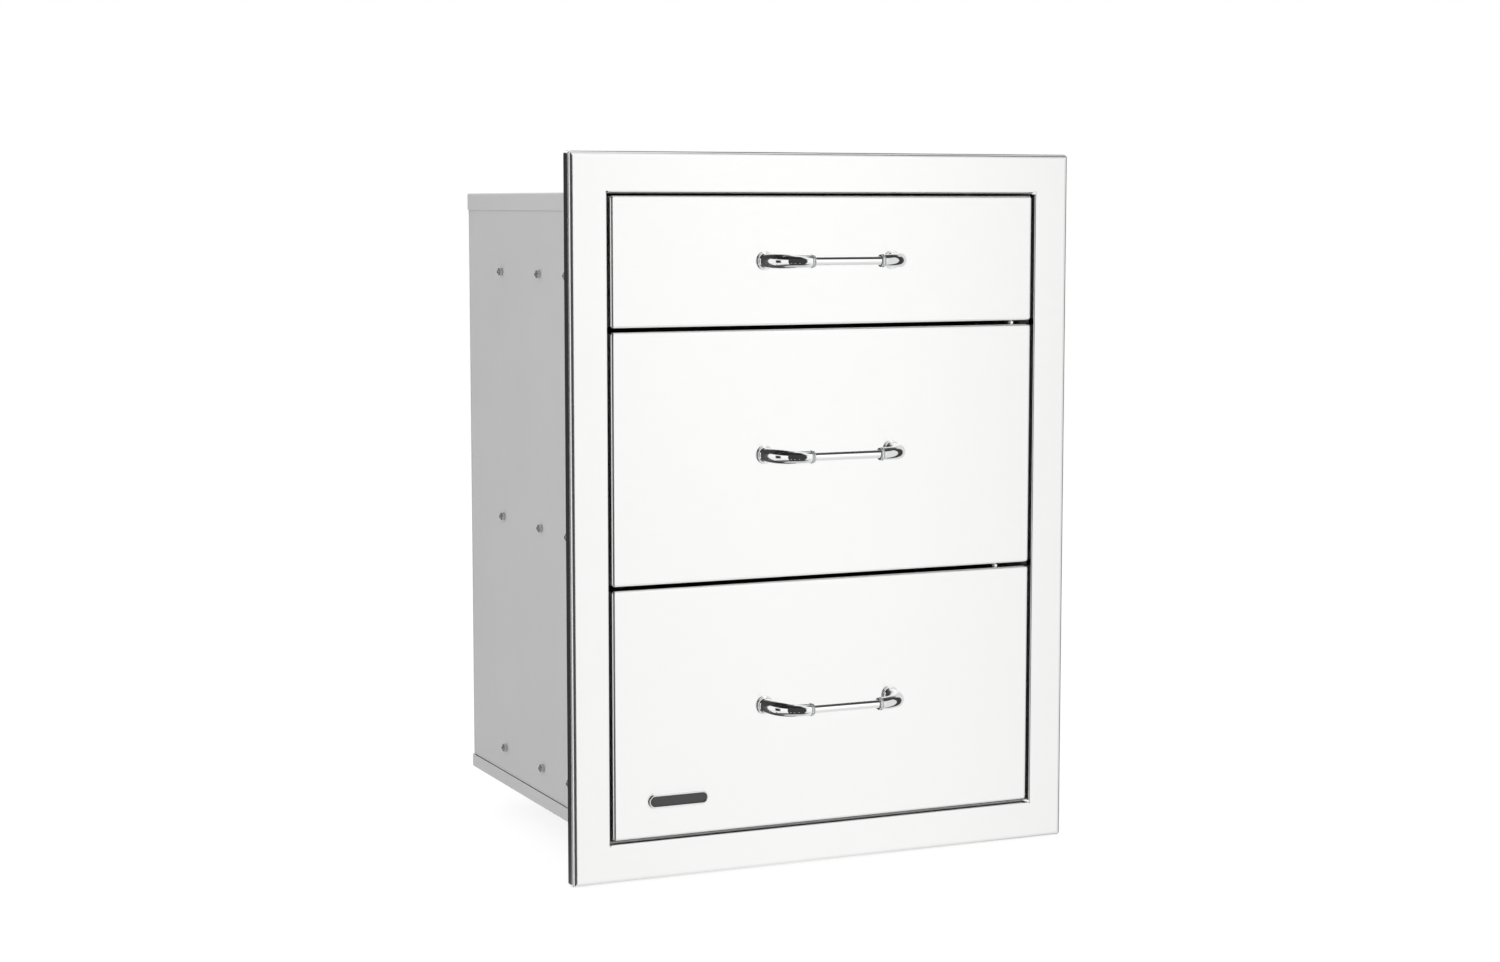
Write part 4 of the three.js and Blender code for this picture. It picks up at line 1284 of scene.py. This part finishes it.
def thread_rings(radius, low, high):
    """A stack of rings whose radius follows a thread, and which ends in a small cone."""
    rings = []
    count = round((high - low) / THREAD_PITCH * THREAD_STEPS)
    for step in range(count + 1):
        level = low + (high - low) * step / count
        ring = []
        for side in range(ROUND_SIDES):
            turn = side / ROUND_SIDES
            phase = (level / THREAD_PITCH - turn) % 1.0
            reach = radius - THREAD_DEPTH * abs(2 * phase - 1)
            angle = 2 * math.pi * turn
            ring.append(Vector((reach * math.cos(angle), reach * math.sin(angle), level)))
        rings.append(ring)
    return rings + [circle(radius - 2 * THREAD_DEPTH, high + THREAD_DEPTH / 2)]


# %% Screw heads and cap nuts
HEAD_RADIUS = 4.0 * MM
HEAD_FOOT_RADIUS = 3.84 * MM
HEAD_EDGE = 0.495 * MM
HEAD_HEIGHT = 1.8 * MM
DOME_STEPS = 8
DOME_POLE = 0.25
RECESS_ARM = 2.3 * MM
RECESS_HALF = 0.45 * MM
RECESS_DEPTH = 1.2 * MM
CAP_RADIUS = 4.6 * MM
CAP_HEX = 2.2 * MM
CAP_DOME = 3.7 * MM
CAP_HEIGHT = 4.4 * MM


def dome_rings(radius, low, high):
    rings = []
    for step in range(DOME_STEPS):
        angle = step / DOME_STEPS * math.pi / 2
        rings.append(circle(radius * math.cos(angle), low + (high - low) * math.sin(angle)))
    return rings + [circle(radius * math.sin(math.pi / 2 / DOME_STEPS) * DOME_POLE, high)]


def pan_head(name):
    rings = [circle(HEAD_FOOT_RADIUS, 0.0)] + dome_rings(HEAD_RADIUS, HEAD_EDGE, HEAD_HEIGHT)
    head = shape_aside(name, loft(rings))
    scene.collection.objects.link(head)
    cross = bmesh.new()
    size = Matrix.Diagonal((2 * RECESS_ARM, 2 * RECESS_HALF, 2 * RECESS_DEPTH, 1.0))
    for angle in (0.0, math.pi / 2):
        place = Matrix.Translation((0, 0, HEAD_HEIGHT)) @ Matrix.Rotation(angle, 4, "Z")
        bmesh.ops.create_cube(cross, size=1.0, matrix=place @ size)
    cut_away(head, cross, crossing=True)
    scene.collection.objects.unlink(head)
    return head


nut_rings = hex_rings(NUT_RADIUS, NUT_HEIGHT)
nut_rings.append(circle(SCREW_RADIUS + THREAD_DEPTH, NUT_HEIGHT))
nut_rings.append(circle(SCREW_RADIUS, NUT_HEIGHT - THREAD_DEPTH))
nut = shape_aside("nut", loft(nut_rings))
tip_end = NUT_HEIGHT + SCREW_TIP - THREAD_DEPTH / 2
tip = shape_aside("tip", loft(thread_rings(SCREW_RADIUS, NUT_HEIGHT / 2, tip_end)))
head_shape = pan_head("head")
cap_rings = hex_rings(CAP_RADIUS, CAP_HEX) + dome_rings(CAP_DOME, CAP_HEX, CAP_HEIGHT)
cap_shape = shape_aside("cap", loft(cap_rings))
print("faces of a nut", len(nut.data.polygons), "and a screw head", len(head_shape.data.polygons))

# %% Set the fasteners
NUT_SEAT = 0.2 * MM
SCREW_PLACES = [90.0 * MM, 172.0 * MM, 289.0 * MM]
BOX_SCREW_PLACES = [53.5 * MM, 303.5 * MM]
BOX_SIDE_X = 223.45 * MM
BOX_HEADROOM = 35.0 * MM
STUD_INSET = 60.0 * MM
STUD_MARGIN = 22.0 * MM

side_spots = []
for drawer_name, side_name, side_sign in DRAWER_SIDES:
    for screw_y in SCREW_PLACES:
        spot = Vector((side_sign * (PANEL_OUTER_X + NUT_SEAT), screw_y, slide_level(drawer_name)))
        side_spots.append((spot, Vector((side_sign, 0, 0))))
fasten("side_nuts", nut, side_spots, "zinc_steel", "cabinet", "zinc_steel", seed=3)
fasten("side_screw_tips", tip, side_spots, "zinc_steel", "cabinet", "zinc_steel", seed=4)

for drawer_name in DRAWERS:
    box_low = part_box(f"drawer_box_{drawer_name}")[0]
    stud_heights = (box_low.z + STUD_MARGIN, FRONTS[drawer_name][1].z - BOX_HEADROOM - STUD_MARGIN)
    body_name = f"drawer_{drawer_name}"
    head_spots = []
    cap_spots = []
    for side_name, side_sign in BOTH_SIDES:
        for screw_y in BOX_SCREW_PLACES:
            x = side_sign * (BOX_SIDE_X - BOX_SHEET - NUT_SEAT)
            spot = Vector((x, screw_y, slide_level(drawer_name)))
            head_spots.append((spot, Vector((-side_sign, 0, 0))))
        for z in stud_heights:
            spot = Vector((side_sign * (BOX_SIDE_X - STUD_INSET), box_low.y + BOX_SHEET + NUT_SEAT, z))
            cap_spots.append((spot, Vector((0, 1, 0))))
    screws_name = f"box_screws_{drawer_name}"
    fasten(screws_name, head_shape, head_spots, "zinc_steel", body_name, "zinc_steel", seed=5)
    fasten(f"cap_nuts_{drawer_name}", cap_shape, cap_spots, "chrome", body_name, "zinc_steel")
print("fasteners in", len(side_spots), "side places and", len(head_spots + cap_spots), "in each drawer")

# %% [markdown]
# The plate and the bumpers
# A small pill-shaped plate is stuck on the bottom front near its lower left corner. It is bare: a
# bright raised rim round a dark field. Two pale nylon bumpers sit in the gaps between the fronts on
# the right and keep the sheets from ringing against each other.

# %% Plate sizes
PLATE_X = -163.1 * MM
PLATE_Z = 39.4 * MM
PLATE_LENGTH = 62.9 * MM
PLATE_WIDTH = 13.2 * MM
PLATE_THICKNESS = 2.4 * MM
PLATE_RIM = 1.5 * MM
RIM_BEND = 0.5 * MM
PLATE_END_STEPS = 32
# ring of the field, in mm: inset and rise. The last ones leave it flat
FIELD_RINGS = [(1.5, 0.0), (1.5, 1.36), (1.8, 1.564), (3.0, 1.7), (6.336, 1.7)]


def pill_ring(inset, rise):
    """A ring round a pill shape on the bottom front's face, standing off it by rise."""
    radius = PLATE_WIDTH / 2 - inset
    straight = PLATE_LENGTH / 2 - PLATE_WIDTH / 2
    ring = []
    for end in (1, -1):
        for step in range(PLATE_END_STEPS + 1):
            angle = math.pi * step / PLATE_END_STEPS - math.pi / 2
            x = PLATE_X + end * (straight + radius * math.cos(angle))
            z = PLATE_Z + end * radius * math.sin(angle)
            ring.append(Vector((x, face_y - rise, z)))
    return ring


# %% Plate
rim_rings = rim_fold(pill_ring, PLATE_THICKNESS, RIM_BEND, PLATE_RIM, RIM_BEND)
rim_rings = [pill_ring(0.0, 0.0)] + rim_rings + [pill_ring(PLATE_RIM, 0.0)]
piece("plate_rim", loft(rim_rings, looped=True), "chrome", "drawer_bottom")

enamel = metal(
    "dark_enamel", (0.045, 0.045, 0.047), 0.3, 0.06, 900.0, EVEN, 2e-6,
    blotch=0.05, haze_scale=70.0, metallic=0.0,
)
field_rings = [pill_ring(inset * MM, rise * MM) for inset, rise in FIELD_RINGS]
piece("plate_field", loft(field_rings), "chrome", "drawer_bottom", finish=enamel)

# %% Bumpers
BUMPER_RADIUS = 1.4 * MM
BUMPER_DEPTH = 7.0 * MM
BUMPER_SET_IN = 1.4 * MM
BUMPER_ROOM = 0.25 * MM
BUMPERS = {"middle": 210.0 * MM, "bottom": 194.0 * MM}
ABOVE = {"middle": "top", "bottom": "middle"}
# ring of a bumper: share of its depth, share of its radius, and share of its half height
BUMPER_RINGS = [
    (0.0, 0.8, 0.9), (0.04, 0.95, 1.0), (0.1, 1.0, 1.0), (0.9, 1.0, 1.0), (0.96, 0.95, 1.0), (1.0, 0.8, 0.9),
]

nylon = metal(
    "white_nylon", (0.86, 0.86, 0.84), 0.5, 0.1, 600.0, EVEN, 4e-6,
    haze_scale=200.0, metallic=0.0,
)
for drawer_name, bumper_x in BUMPERS.items():
    low_z = FRONTS[drawer_name][1].z
    high_z = FRONTS[ABOVE[drawer_name]][0].z - BUMPER_ROOM
    middle_z = (low_z + high_z) / 2
    rings = []
    for share, reach, rise in BUMPER_RINGS:
        y = face_y + BUMPER_SET_IN + BUMPER_DEPTH * share
        across = BUMPER_RADIUS * reach
        up = (high_z - low_z) / 2 * rise
        rings.append([
            Vector((bumper_x + across * cos, y, middle_z + up * sin))
            for cos, sin in round_steps(ROUND_SIDES)
        ])
    piece(f"bumper_{drawer_name}", loft(rings), "polished_steel", f"drawer_{drawer_name}", finish=nylon)
print("plate and", len(BUMPERS), "bumpers")
